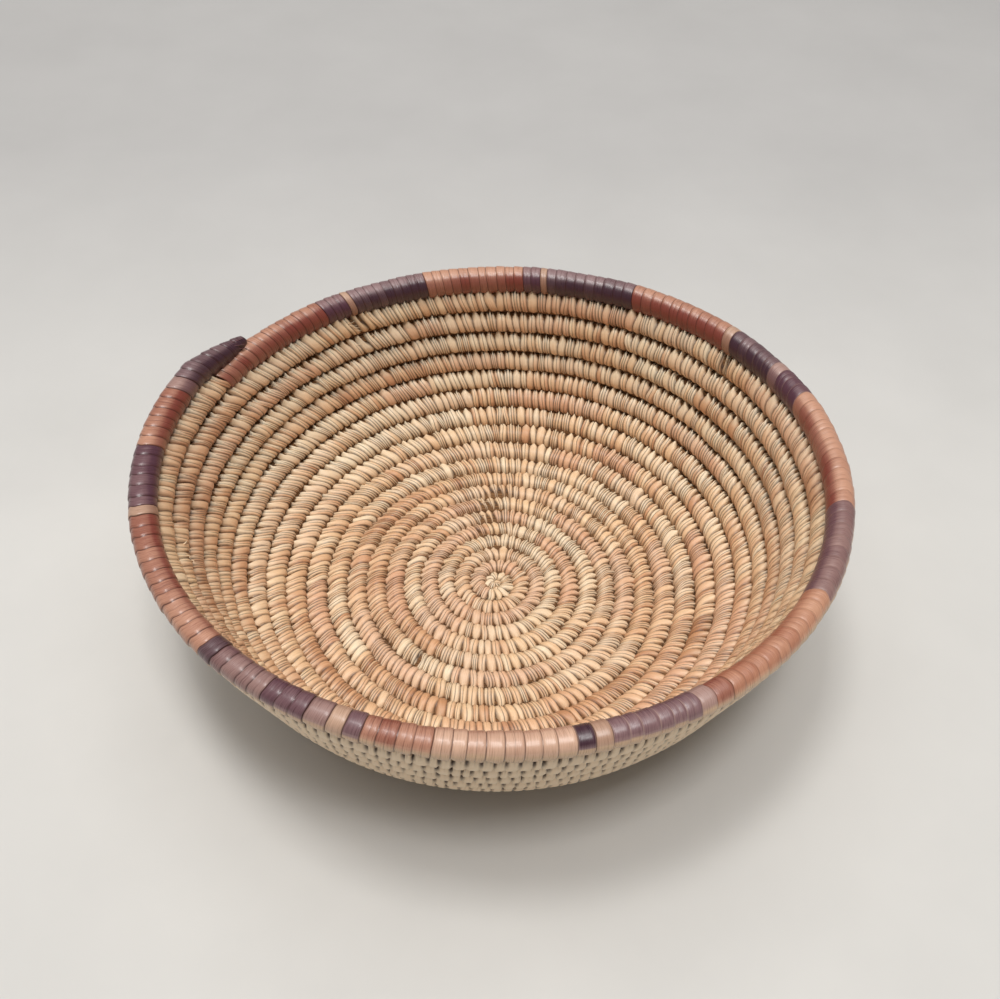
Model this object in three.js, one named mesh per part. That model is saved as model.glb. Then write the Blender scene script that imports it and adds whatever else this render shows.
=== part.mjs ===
// A coiled basket: a grass bundle wrapped with palm-leaf strips and wound into a bowl.
// Units are millimetres and degrees. +Z is up, and the origin is the middle of the underside.
// The coil runs clockwise as seen from above. A place on it is given in turns from its inner end.

import * as THREE from 'three';

// Driving dimensions of the bowl

const floorReach = 76.5; // flat floor, from the middle to where the wall starts to rise
const bendRadius = 68; // curve from the floor into the wall
const wallLean = 73.5; // slope of the straight part of the wall
const rimLean = 76.5; // slope on which the rim's turn lies
const flareReach = 14; // length of wall over which the slope changes to the rim's
const rimOval = 5.7; // the rim is this much wider along X and narrower along Y, on each side
const rimShift = -5; // how far the rim's middle lies behind the floor's middle

// Driving dimensions of the natural coil

const startAzimuth = -90; // of the coil's inner end, clockwise from +Y
const wholeTurns = 18;
const coilStartThickness = 7.5; // over the wrapping
const coilEndThickness = 13.1;
const turnGap = 0.8; // between one turn and the next
const coilStartReach = 9.3; // from the middle of the floor to the middle of the coil's inner end
const knotGap = 0.4;
const knotHeight = 6.2;
const knotRound = 1.2; // radius of its rounded edges
const knotRoundSteps = 3;

// Driving dimensions of the rim

const rimAzimuth = -67.5; // of the place where the natural coil ends and the rim starts
const rimThickness = 13.2;
const rimOverlap = 9; // the rim runs on past one full turn by this angle
const rimSwellAngle = 36; // over which the rim's bundle is thickened at its start
const rimTipAngle = 13; // over which its end tapers
const rimTipThickness = 4.5;

// Driving dimensions of the wrapping

const stripThickness = 0.6; // at its thinnest, over the bundle's corners
const stripClearance = 0.3; // between the bundle and the strips round it
const jointGap = 0.3; // between one length of wrapping and the next

// Facets

const coilSteps = 24; // per turn
const rimSteps = 48; // per turn
const coilSides = 6;
const rimSides = 8;
const bundleSides = 4;

// The rim's wrapping, from its start: the dye and the angle that each length of it covers

const rimBands = [
  ['brick', 27], ['purple', 5.5], ['tan', 1.5], ['plum', 17], ['brick', 22.5], ['purple', 4], ['tan', 1.5],
  ['plum', 20], ['brick', 22.5], ['tan', 2], ['plum', 11], ['mauve', 2.5], ['purple', 6.5], ['brick', 26],
  ['mauve', 19.5], ['brown', 23], ['brick', 3], ['mauve', 2.5], ['purple', 13.5], ['tan', 2.5], ['plum', 2.5],
  ['blush', 20], ['brick', 10], ['purple', 2.5], ['tan', 2.5], ['mauve', 3.5], ['purple', 7], ['mauve', 9.5],
  ['plum', 2.5], ['brick', 28], ['tan', 2], ['purple', 13], ['brick', 13.5], ['mauve', 3], ['plum', 16],
];

const finishes = {
  bundle: { color: 0xa8895a, roughness: 0.95, metalness: 0 },
  cream: { color: 0xd9bd8c, roughness: 0.75, metalness: 0 },
  straw: { color: 0xcfa674, roughness: 0.75, metalness: 0 },
  honey: { color: 0xc49468, roughness: 0.75, metalness: 0 },
  tan: { color: 0xc89a78, roughness: 0.5, metalness: 0 },
  blush: { color: 0xc08a70, roughness: 0.5, metalness: 0 },
  brick: { color: 0x9a5a4c, roughness: 0.5, metalness: 0 },
  brown: { color: 0xa87458, roughness: 0.5, metalness: 0 },
  mauve: { color: 0x8d6468, roughness: 0.5, metalness: 0 },
  purple: { color: 0x6d4a5c, roughness: 0.5, metalness: 0 },
  plum: { color: 0x4a3046, roughness: 0.5, metalness: 0 },
};
const naturalTones = ['straw', 'cream', 'honey'];

// Places that follow from the sizes above

const degree = Math.PI / 180;
const coilTurns = wholeTurns + (rimAzimuth - startAzimuth) / 360;
const rimTurns = 1 + rimOverlap / 360;
const endTurn = coilTurns + rimTurns;
const rimSwellTurns = rimSwellAngle / 360;
const rimTipTurns = rimTipAngle / 360;
const bandTotal = rimBands.reduce((sum, band) => sum + band[1], 0);

// Thickness over the wrapping. The coil thickens evenly outwards, then swells into the rim.
function thicknessAt(turn) {
  const along = Math.min(turn / coilTurns, 1);
  const natural = coilStartThickness + (coilEndThickness - coilStartThickness) * along;
  if (turn <= coilTurns) return natural;
  const swell = THREE.MathUtils.smoothstep(turn, coilTurns, coilTurns + rimSwellTurns);
  const full = natural + (rimThickness - natural) * swell;
  const taper = THREE.MathUtils.clamp((turn - endTurn + rimTipTurns) / rimTipTurns, 0, 1);
  return full + (rimTipThickness - full) * taper;
}

// Distance along the floor and wall, from the middle to the coil's centre line.
// Each turn lies beside the turn inside it.
function reachAt(turn) {
  if (turn < 1) {
    return coilStartReach + turn * (turnGap + (thicknessAt(0) + thicknessAt(turn)) / 2);
  }
  return reachAt(turn - 1) + (thicknessAt(turn - 1) + thicknessAt(turn)) / 2 + turnGap;
}

const wallReach = reachAt(coilTurns);
const longestReach = wallReach + 3 * rimThickness;

// Slope of the floor and wall at a distance from the middle.
function slopeAt(reach) {
  const bend = THREE.MathUtils.clamp((reach - floorReach) / bendRadius, 0, wallLean * degree);
  const flare = THREE.MathUtils.clamp((reach - wallReach) / flareReach, 0, 1);
  return bend + (rimLean - wallLean) * degree * flare;
}

// The bowl's section, added up in millimetre steps from the middle.
const sectionStep = 1;
const section = [[0, 0]];
while (section.length * sectionStep < longestReach) {
  const [radius, height] = section.at(-1);
  const slope = slopeAt((section.length - 0.5) * sectionStep);
  section.push([radius + sectionStep * Math.cos(slope), height + sectionStep * Math.sin(slope)]);
}

// Radius and height of the bowl's section at a distance from the middle.
function sectionAt(reach) {
  const index = Math.floor(reach / sectionStep);
  const part = reach / sectionStep - index;
  const [innerRadius, innerHeight] = section[index];
  const [outerRadius, outerHeight] = section[index + 1];
  return [
    innerRadius + (outerRadius - innerRadius) * part,
    innerHeight + (outerHeight - innerHeight) * part,
  ];
}

// A point of the wrapped coil's cross-section, across the wall and out of it, at a place on the coil.
// The coil's flat underside lies on the floor, so its centre is half its height up.
const flatShare = Math.cos(Math.PI / coilSides);
function pointAt(turn, across, out) {
  const azimuth = (startAzimuth + 360 * turn) * degree;
  const reach = reachAt(turn);
  const slope = slopeAt(reach);
  const share = (reach / wallReach) ** 2;
  const [plainRadius, plainHeight] = sectionAt(reach);
  const lift = thicknessAt(Math.min(turn, coilTurns)) / 2 * flatShare;
  const swell = rimShift * Math.cos(azimuth) - rimOval * Math.cos(2 * azimuth);
  const radius = plainRadius + share * swell + across * Math.cos(slope) - out * Math.sin(slope);
  const height = plainHeight + lift + across * Math.sin(slope) + out * Math.cos(slope);
  return new THREE.Vector3(radius * Math.sin(azimuth), radius * Math.cos(azimuth), height);
}

// A ring of points round the coil. Between two steps of the coil it lies on the straight line.
function ringAt(turn, sides, radiusAt) {
  const steps = turn < coilTurns ? coilSteps : rimSteps;
  const before = Math.floor(turn * steps + 1e-6) / steps;
  const after = before + 1 / steps;
  const part = (turn - before) * steps;
  const ring = [];
  for (let side = 0; side < sides; side += 1) {
    const angle = ringAngle(side, sides);
    const near = pointAt(before, radiusAt(before) * Math.cos(angle), radiusAt(before) * Math.sin(angle));
    if (part < 1e-6) {
      ring.push(near);
    } else {
      const far = pointAt(after, radiusAt(after) * Math.cos(angle), radiusAt(after) * Math.sin(angle));
      ring.push(near.lerp(far, part));
    }
  }
  return ring;
}

// The rim's eight sides and the bundle's four have a flat outwards, and the coil's six a corner.
function ringAngle(side, sides) {
  const turned = sides === coilSides ? 0 : 0.5;
  return (side + turned) * 2 * Math.PI / sides;
}

// Radius of the corners of each ring at a place on the coil
const sidesAt = (turn) => (turn < coilTurns ? coilSides : rimSides);
const outerRadius = (turn) => thicknessAt(turn) / 2;
const boreRadius = (turn) => outerRadius(turn) * flatShare - stripThickness;
const bundleRadius = (turn) => boreRadius(turn) - stripClearance / Math.cos(Math.PI / bundleSides);

// The places of the rings from one place to another: both ends and every step between them
function ringTurns(from, to) {
  const steps = from < coilTurns - 1e-6 ? coilSteps : rimSteps;
  const turns = [from];
  for (let step = Math.floor(from * steps + 1e-6) + 1; step / steps < to - 1e-6; step += 1) {
    turns.push(step / steps);
  }
  turns.push(to);
  return turns;
}

// A tube along the coil, solid or with a bore
function tubeGeometry(from, to, sides, radiusAt, boreSides, boreRadiusAt) {
  const turns = ringTurns(from, to);
  const outer = turns.map((turn) => ringAt(turn, sides, radiusAt));
  const bore = boreSides ? turns.map((turn) => ringAt(turn, boreSides, boreRadiusAt)) : turns.map(() => []);
  const ringSize = sides + (boreSides || 0);
  const points = outer.flatMap((ring, index) => [...ring, ...bore[index]]);
  const faces = [];
  const skin = (count, first, outwards) => {
    for (let ring = 0; ring < turns.length - 1; ring += 1) {
      for (let side = 0; side < count; side += 1) {
        const next = (side + 1) % count;
        const a = ring * ringSize + first + side;
        const b = ring * ringSize + first + next;
        const c = b + ringSize;
        const d = a + ringSize;
        if (outwards) faces.push(a, b, c, a, c, d);
        else faces.push(a, c, b, a, d, c);
      }
    }
  };
  skin(sides, 0, true);
  if (boreSides) skin(boreSides, sides, false);
  const outline = (count, size) => Array.from({ length: count }, (_, side) => {
    const angle = ringAngle(side, count);
    return new THREE.Vector2(size * Math.cos(angle), size * Math.sin(angle));
  });
  const endFaces = (turn) => {
    const holes = boreSides ? [outline(boreSides, boreRadiusAt(turn))] : [];
    return THREE.ShapeUtils.triangulateShape(outline(sides, radiusAt(turn)), holes);
  };
  const last = (turns.length - 1) * ringSize;
  for (const [a, b, c] of endFaces(from)) faces.push(a, c, b);
  for (const [a, b, c] of endFaces(to)) faces.push(last + a, last + b, last + c);
  const geometry = new THREE.BufferGeometry().setFromPoints(points);
  geometry.setIndex(faces);
  geometry.computeVertexNormals();
  return geometry;
}

const basket = new THREE.Group();

function addMesh(name, geometry, finish) {
  const mesh = new THREE.Mesh(geometry, new THREE.MeshStandardMaterial(finishes[finish]));
  mesh.name = name;
  basket.add(mesh);
  return mesh;
}

// Half the joint between two lengths of wrapping, as a share of a turn
function halfJoint(turn) {
  const point = pointAt(turn, 0, 0);
  return jointGap / 2 / (2 * Math.PI * Math.hypot(point.x, point.y));
}

// The start knot, a low snail-shaped button that fills the middle of the spiral. Its edge follows the
// inner side of the coil's first turn, and its straight part stands before the coil's inner end.
function addKnot() {
  const radiusAt = (turn) => reachAt(turn) - thicknessAt(turn) / 2 - knotGap;
  const first = -Math.asin(knotGap / radiusAt(0)) / (2 * Math.PI);
  const last = 1 - Math.asin(knotGap / radiusAt(1)) / (2 * Math.PI);
  const turns = [first];
  for (let step = 1; step < coilSteps; step += 1) turns.push(step / coilSteps);
  turns.push(last);
  const outline = turns.map((turn) => {
    const azimuth = (startAzimuth + 360 * turn) * degree;
    const radius = radiusAt(Math.max(turn, 0));
    return new THREE.Vector2(radius * Math.sin(azimuth), radius * Math.cos(azimuth));
  });
  const geometry = new THREE.ExtrudeGeometry(new THREE.Shape(outline), {
    depth: knotHeight - 2 * knotRound,
    bevelThickness: knotRound,
    bevelSize: knotRound,
    bevelOffset: -knotRound,
    bevelSegments: knotRoundSteps,
  });
  geometry.translate(0, 0, knotRound);
  addMesh('start_knot', geometry, 'cream');
}

// The grass bundle of the natural coil, one unbroken spiral
function addCoilBundle() {
  const end = coilTurns - halfJoint(coilTurns);
  addMesh('coil_bundle', tubeGeometry(0, end, bundleSides, bundleRadius), 'bundle');
}

// The natural strips, one length of wrapping for each turn
function addCoilWraps() {
  for (let wrap = 0; wrap < wholeTurns; wrap += 1) {
    const from = wrap === 0 ? 0 : wrap + halfJoint(wrap);
    const next = wrap === wholeTurns - 1 ? coilTurns : wrap + 1;
    const to = next - halfJoint(next);
    const geometry = tubeGeometry(from, to, coilSides, outerRadius, bundleSides, boreRadius);
    const name = `coil_wrap_${String(wrap + 1).padStart(2, '0')}`;
    addMesh(name, geometry, naturalTones[wrap % naturalTones.length]);
  }
}

// The grass bundle of the rim, tapered at its end
function addRimBundle() {
  const start = coilTurns + halfJoint(coilTurns);
  addMesh('rim_bundle', tubeGeometry(start, endTurn, bundleSides, bundleRadius), 'bundle');
}

// The dyed strips of the rim, one length of wrapping for each run of colour
function addRimWraps() {
  let from = coilTurns;
  rimBands.forEach(([dye, angle], index) => {
    const last = index === rimBands.length - 1;
    const next = last ? endTurn : from + angle / bandTotal * rimTurns;
    const start = from + halfJoint(from);
    const end = last ? endTurn : next - halfJoint(next);
    const geometry = tubeGeometry(start, end, rimSides, outerRadius, bundleSides, boreRadius);
    addMesh(`rim_wrap_${String(index + 1).padStart(2, '0')}_${dye}`, geometry, dye);
    from = next;
  });
}

// The least gap between each turn of the wrapping and the next, on points round both
function leastGap() {
  const stops = 4;
  let least = Infinity;
  for (let stop = 0; stop / (coilSteps * stops) < endTurn - 1; stop += 1) {
    const turn = stop / (coilSteps * stops);
    const inner = ringAt(turn, sidesAt(turn), outerRadius);
    const outer = ringAt(turn + 1, sidesAt(turn + 1), outerRadius);
    for (const a of inner) {
      for (const b of outer) {
        least = Math.min(least, a.distanceTo(b));
      }
    }
  }
  return least;
}

addKnot();
addCoilBundle();
addCoilWraps();
addRimBundle();
addRimWraps();
console.log(`least gap between turns ${leastGap().toFixed(2)} mm`);

export default basket;
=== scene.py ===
"""A coiled basket: the looks of its stitched coil, dyed rim and curled start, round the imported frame.

Everything is in metres. +Z is up and the origin is the middle of the underside. A place on the coil is
given in turns from its inner end, clockwise as seen from above, and an angle round its cross-section:
0 degrees points up the wall to the next turn, 90 into the bowl, 180 to the turn before, 270 outside.
"""

import logging
import math
from dataclasses import dataclass
from enum import Enum

import bpy
import numpy as np
from mathutils import Matrix, Vector


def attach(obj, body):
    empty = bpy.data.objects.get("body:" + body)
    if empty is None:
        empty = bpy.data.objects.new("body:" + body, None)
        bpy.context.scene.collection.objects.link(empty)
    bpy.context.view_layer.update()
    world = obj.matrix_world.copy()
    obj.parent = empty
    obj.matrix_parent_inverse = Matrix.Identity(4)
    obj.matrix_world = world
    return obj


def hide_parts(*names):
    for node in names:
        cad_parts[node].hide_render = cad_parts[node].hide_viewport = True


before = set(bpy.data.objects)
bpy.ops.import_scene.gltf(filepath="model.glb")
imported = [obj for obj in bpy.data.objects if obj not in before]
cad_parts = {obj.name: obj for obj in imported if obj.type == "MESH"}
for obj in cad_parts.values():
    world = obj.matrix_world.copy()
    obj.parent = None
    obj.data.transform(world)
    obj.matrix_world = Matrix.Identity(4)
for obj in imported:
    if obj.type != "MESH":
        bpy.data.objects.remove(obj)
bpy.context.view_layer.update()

log = logging.getLogger("coiled_basket")
MILLIMETRE = 0.001

# Height of the coil's flat outer side from its centre line, as a share of half its thickness.
FLAT_SHARE = math.cos(math.pi / 6)

Array = np.ndarray
Random = np.random.Generator
Socket = bpy.types.NodeSocket
Pair = tuple[float, float]
Triple = tuple[float, float, float]
Colour = tuple[float, float, float, float]


def colour(red: float, green: float, blue: float) -> Colour:
    """Turns a screen colour of 0 to 255 into the linear colour that a shader takes.

    Each channel is divided by 255, and then follows the screen's curve: a straight line near black and
    a power of 2.4 above it.

    Args:
        red, green, blue: the screen colour.

    Returns:
        The linear colour with an alpha of 1.
    """
    shares = [channel / 255 for channel in (red, green, blue)]
    linear = [s / 12.92 if s <= 0.04045 else ((s + 0.055) / 1.055) ** 2.4 for s in shares]
    return (*linear, 1.0)


WHITE = colour(255, 255, 255)


def smooth_step(value: Array, low: float, high: float) -> Array:
    """Rises smoothly from 0 at low to 1 at high: 3x squared less 2x cubed of the share between them.

    Args:
        value: where the curve is wanted.
        low: the value at which it leaves 0.
        high: the value at which it reaches 1, which may be below low.

    Returns:
        The height of the curve at each value.
    """
    share = np.clip((value - low) / (high - low), 0, 1)
    return share * share * (3 - 2 * share)


def bump(value: Array, middle: float, width: float) -> Array:
    """Gives a bell curve of height 1: e to the minus square of the distance from middle over width."""
    return np.exp(-(((value - middle) / width) ** 2))


def blend(ends: Pair, share: Array) -> Array:
    """Goes evenly from the first of two values to the second as the share goes from 0 to 1."""
    return ends[0] + (ends[1] - ends[0]) * share


@dataclass(frozen=True)
class BowlSizes:
    """Driving sizes of the bowl, its coil and its rim, in metres and degrees."""

    floor_reach: float = 0.0765
    bend_radius: float = 0.068
    wall_lean: float = 73.5
    rim_lean: float = 76.5
    flare_reach: float = 0.014
    rim_oval: float = 0.0057
    rim_shift: float = -0.005
    start_azimuth: float = -90.0
    whole_turns: int = 18
    start_thickness: float = 0.0075
    end_thickness: float = 0.0131
    turn_gap: float = 0.0008
    start_reach: float = 0.0093
    rim_azimuth: float = -67.5
    rim_thickness: float = 0.0132
    rim_overlap: float = 9.0
    rim_swell_angle: float = 36.0
    rim_tip_angle: float = 13.0
    rim_tip_thickness: float = 0.0045
    curl_turns: float = 1.45
    curl_thickness: float = 0.0028

    @property
    def coil_turns(self) -> float:
        """Turns of the natural coil, up to the start of the rim."""
        return self.whole_turns + (self.rim_azimuth - self.start_azimuth) / 360

    @property
    def end_turn(self) -> float:
        """Place of the rim's tip, in turns."""
        return self.coil_turns + 1 + self.rim_overlap / 360


class CoilLine:
    """The centre line of the coil: its thickness, place and slope at any turn, held on a fine grid."""

    SAMPLES = 720
    SECTION_STEP = 0.25 * MILLIMETRE
    LEAST_REACH = 0.3 * MILLIMETRE
    LEAST_RADIUS = 0.1 * MILLIMETRE
    CURL_DIP = 0.6 * MILLIMETRE

    def __init__(self, sizes: BowlSizes) -> None:
        """Works out the line once, on SAMPLES places to each turn.

        The thickness grows evenly with the turns, swells into the rim and tapers at its tip. The reach,
        which is the distance along the floor and wall, grows from one turn to the next by the mean of
        their thicknesses and the gap. Before turn 0 the same rule, run backwards, curls the thinning
        start into the middle. The section's radius and height are sums of the cosine and sine of the
        slope, which rises along a circular bend and changes to the rim's over a short length.

        Args:
            sizes: the driving sizes.
        """
        self.sizes = sizes
        per_turn = self.SAMPLES
        rows = math.ceil(sizes.end_turn) + 1
        turn = np.arange(rows * per_turn) / per_turn
        thick = self._plain_thickness(turn)
        rings = thick.reshape(rows, per_turn)
        steps = (rings[:-1] + rings[1:]) / 2 + sizes.turn_gap
        first = sizes.start_reach + turn[:per_turn] * (sizes.turn_gap + (thick[0] + rings[0]) / 2)
        reach = np.concatenate([[first], first + np.cumsum(steps, axis=0)]).ravel()

        back = np.arange(-2 * per_turn, 0) / per_turn
        curl = self._plain_thickness(back)
        later = np.concatenate([curl[per_turn:], rings[0]])
        drop = (curl + later) / 2 + sizes.turn_gap
        inner = first - drop[per_turn:]
        inmost = inner - drop[:per_turn]
        self.turn = np.concatenate([back, turn])
        self.thickness = np.concatenate([curl, thick])
        self.reach = np.maximum(np.concatenate([inmost, inner, reach]), self.LEAST_REACH)
        self.wall_reach = float(np.interp(sizes.coil_turns, self.turn, self.reach))

        track = np.arange(0, self.wall_reach + 3 * sizes.rim_thickness, self.SECTION_STEP)
        slope = self._slope(track + self.SECTION_STEP / 2)
        radius = np.concatenate([[0], np.cumsum(np.cos(slope))[:-1]]) * self.SECTION_STEP
        height = np.concatenate([[0], np.cumsum(np.sin(slope))[:-1]]) * self.SECTION_STEP
        self.slope = self._slope(self.reach)
        azimuth = self.azimuth_at(self.turn)
        swell = sizes.rim_shift * np.cos(azimuth) - sizes.rim_oval * np.cos(2 * azimuth)
        self.radius = np.interp(self.reach, track, radius) + (self.reach / self.wall_reach) ** 2 * swell
        self.height = np.interp(self.reach, track, height) + self._lift()
        x, y = self.radius * np.sin(azimuth), self.radius * np.cos(azimuth)
        hops = np.sqrt(np.diff(x) ** 2 + np.diff(y) ** 2 + np.diff(self.height) ** 2)
        self.distance = np.concatenate([[0], np.cumsum(hops)])

    def _plain_thickness(self, turn: Array) -> Array:
        """Thickness over the wrapping: even growth, the rim's swell, its tip's taper and the curl's."""
        sizes = self.sizes
        growth = sizes.end_thickness - sizes.start_thickness
        natural = sizes.start_thickness + growth * np.clip(turn / sizes.coil_turns, 0, 1)
        swell = smooth_step(turn, sizes.coil_turns, sizes.coil_turns + sizes.rim_swell_angle / 360)
        full = natural + (sizes.rim_thickness - natural) * swell
        tip = sizes.rim_tip_angle / 360
        taper = np.clip((turn - sizes.end_turn + tip) / tip, 0, 1)
        full = full + (sizes.rim_tip_thickness - full) * taper
        curl = np.clip(-turn / sizes.curl_turns, 0, 1)
        return full + (sizes.curl_thickness - full) * curl

    def _lift(self) -> Array:
        """Height of the centre line over the bowl's shell, which touches the coil's flat outer side.

        It is half the thickness times FLAT_SHARE. The curl before turn 0 hangs from the top of the first
        turn instead, and dips by CURL_DIP for each turn inwards.

        Returns:
            The height at each place of the line.
        """
        natural = np.interp(np.minimum(self.turn, self.sizes.coil_turns), self.turn, self.thickness)
        curl_top = self.sizes.start_thickness * (FLAT_SHARE + 1) / 2 + self.CURL_DIP * self.turn
        return np.where(self.turn < 0, curl_top - natural / 2, natural / 2 * FLAT_SHARE)

    def _slope(self, reach: Array) -> Array:
        """Slope of the floor and wall at a distance from the middle, in radians."""
        sizes = self.sizes
        lean = math.radians(sizes.wall_lean)
        bend = np.clip((reach - sizes.floor_reach) / sizes.bend_radius, 0, lean)
        flare = np.clip((reach - self.wall_reach) / sizes.flare_reach, 0, 1)
        return bend + (math.radians(sizes.rim_lean) - lean) * flare

    def azimuth_at(self, turn: Array) -> Array:
        """Azimuth at a turn, clockwise from +Y, in radians."""
        return np.radians(self.sizes.start_azimuth + 360 * turn)

    def distance_at(self, turn: float | Array) -> Array:
        """Distance along the centre line at a turn."""
        return np.interp(turn, self.turn, self.distance)

    def turn_at(self, distance: Array) -> Array:
        """Turn at a distance along the centre line, no further than the rim's tip."""
        sizes = self.sizes
        return np.interp(distance, self.distance, self.turn).clip(-sizes.curl_turns, sizes.end_turn)

    def thickness_at(self, turn: float | Array) -> Array:
        """Thickness over the wrapping at a turn."""
        return np.interp(turn, self.turn, self.thickness)

    def place(self, turn: Array, across: Array, out: Array) -> Array:
        """Places points of the cross-section in the basket.

        The point lies across up the wall and out towards the inside of the bowl from the centre line:
        its radius gains across times the cosine of the slope less out times the sine, its height gains
        across times the sine plus out times the cosine, and no point goes under the ground.

        Args:
            turn: where on the coil.
            across: distance up the wall from the centre line.
            out: distance from the centre line towards the inside of the bowl.

        Returns:
            The points, with a last axis of x, y and z.
        """
        slope = np.interp(turn, self.turn, self.slope)
        radius = np.interp(turn, self.turn, self.radius) + across * np.cos(slope) - out * np.sin(slope)
        height = np.interp(turn, self.turn, self.height) + across * np.sin(slope) + out * np.cos(slope)
        azimuth = self.azimuth_at(turn)
        radius = np.maximum(radius, self.LEAST_RADIUS)
        return np.stack([radius * np.sin(azimuth), radius * np.cos(azimuth), np.maximum(height, 0)], -1)


@dataclass
class TubeSkin:
    """A closed tube's surface as rings of points, with the values that its finish reads.

    along is each ring's distance along the coil and round_length the length of the way round it, both
    for the UV map. seam and fade have a value for each point, tone and blush one
    for each band of faces between two rings. seam is the darkness of the lines between strips
    together with painted shade, and fade carries worn dye, paler bare leaf and a painted
    highlight on the natural stitches' tips.
    """

    rings: Array
    along: Array
    round_length: float
    seam: Array
    fade: Array
    tone: Array
    blush: Array

    UV_UNIT = 0.1

    @classmethod
    def plain(cls, rings: Array, along: Array, round_length: float, tone: float = 0.0,
              blush: float = 0.0) -> "TubeSkin":
        """Makes a surface without lines or fading, of one tone and one pinkish cast."""
        zero = np.zeros(rings.shape[:2])
        bands = len(rings) - 1
        return cls(rings, along, round_length, zero, zero, np.full(bands, tone), np.full(bands, blush))

    def part(self, first: int, last: int) -> "TubeSkin":
        """Takes the rings from first to last, both included, with the faces between them."""
        rings, bands = slice(first, last + 1), slice(first, last)
        return TubeSkin(self.rings[rings], self.along[rings], self.round_length, self.seam[rings],
                        self.fade[rings], self.tone[bands], self.blush[bands])

    def build(self, name: str) -> bpy.types.Object:
        """Makes the tube a mesh object: four-sided faces between rings and a fan of triangles at each end.

        Face number j times the ring size plus k joins points k and k + 1 of rings j and j + 1. The fan's
        middle is the mean of the end ring's points.

        Args:
            name: the object's name.

        Returns:
            The new object, linked to the scene, with its place in its mesh.
        """
        count, size = self.rings.shape[:2]
        middles = [self.rings[0].mean(0), self.rings[-1].mean(0)]
        points = np.concatenate([self.rings.reshape(-1, 3), middles])
        side = np.arange(size)
        after = (side + 1) % size
        ring = np.arange(count - 1)[:, None] * size
        next_ring = ring + size
        quads = np.stack([ring + side, ring + after, next_ring + after, next_ring + side], -1)
        last = (count - 1) * size
        start_fan = np.stack([np.full(size, count * size), after, side], -1)
        end_fan = np.stack([np.full(size, count * size + 1), last + side, last + after], -1)
        fans = np.concatenate([start_fan, end_fan])
        corners = np.concatenate([quads.ravel(), fans.ravel()])
        starts = np.concatenate([np.arange(last) * 4, quads.size + np.arange(len(fans)) * 3])

        mesh = bpy.data.meshes.new(name)
        mesh.vertices.add(len(points))
        mesh.vertices.foreach_set("co", points.astype(np.float32).ravel())
        mesh.loops.add(len(corners))
        mesh.loops.foreach_set("vertex_index", corners.astype(np.int32))
        mesh.polygons.add(len(starts))
        mesh.polygons.foreach_set("loop_start", starts.astype(np.int32))
        mesh.polygons.foreach_set("use_smooth", np.ones(len(starts), bool))
        mesh.update(calc_edges=True)

        self._write_uv(mesh, size, fans.size)
        for label, values in (("seam", self.seam), ("fade", self.fade)):
            ends = [values[0].mean(), values[-1].mean()]
            self._write_values(mesh, label, "POINT", np.concatenate([values.ravel(), ends]))
        for label, values in (("tone", self.tone), ("blush", self.blush)):
            ends = np.repeat([values[0], values[-1]], size)
            self._write_values(mesh, label, "FACE", np.concatenate([np.repeat(values, size), ends]))
        mesh.validate()
        piece = bpy.data.objects.new(name, mesh)
        bpy.context.scene.collection.objects.link(piece)
        return piece

    @staticmethod
    def _write_values(mesh: bpy.types.Mesh, label: str, domain: str, values: Array) -> None:
        """Stores a number for each point or face of the mesh under a name."""
        mesh.attributes.new(label, "FLOAT", domain).data.foreach_set("value", values.astype(np.float32))

    def _write_uv(self, mesh: bpy.types.Mesh, size: int, fan_corners: int) -> None:
        """Writes the UV map: the distance along the coil and round it, in units of UV_UNIT.

        Args:
            mesh: the new mesh.
            size: points in a ring.
            fan_corners: corners of the faces at both ends, which all lie at the map's corner.
        """
        way = np.linspace(0, self.round_length, size + 1)[None]
        spread = np.broadcast_arrays(self.along[:-1, None], self.along[1:, None], way[:, :-1], way[:, 1:])
        left, right, low, high = spread
        quads = np.stack([left, low, left, high, right, high, right, low], -1).ravel()
        places = np.concatenate([quads, np.zeros(fan_corners * 2)]) / self.UV_UNIT
        mesh.uv_layers.new(name="strip").data.foreach_set("uv", places.astype(np.float32))


def round_angles(inside_steps: int, outside_steps: int) -> Array:
    """Angles round the cross-section, finer on the side that faces into the bowl.

    They run from 0 to 180 degrees in inside_steps and evenly on to 360 in outside_steps. Inside, the
    steps at 0 and 180 degrees are shorter than an even step by the share closer, and those at 90
    degrees longer by as much, because a part of a sine wave is taken from the even angles. The list
    starts at 270 degrees, so that the UV map's border lies outside.

    Args:
        inside_steps: steps from 0 to 180 degrees.
        outside_steps: steps from 180 to 360 degrees, an even number.

    Returns:
        The angles in radians, one for each point of a ring.
    """
    closer = 0.45
    share = np.linspace(0, 1, inside_steps, endpoint=False)
    inside = math.pi * (share - closer * np.sin(2 * math.pi * share) / (2 * math.pi))
    outside = np.linspace(math.pi, 2 * math.pi, outside_steps, endpoint=False)
    return np.roll(np.concatenate([inside, outside]), outside_steps // 2)


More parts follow.
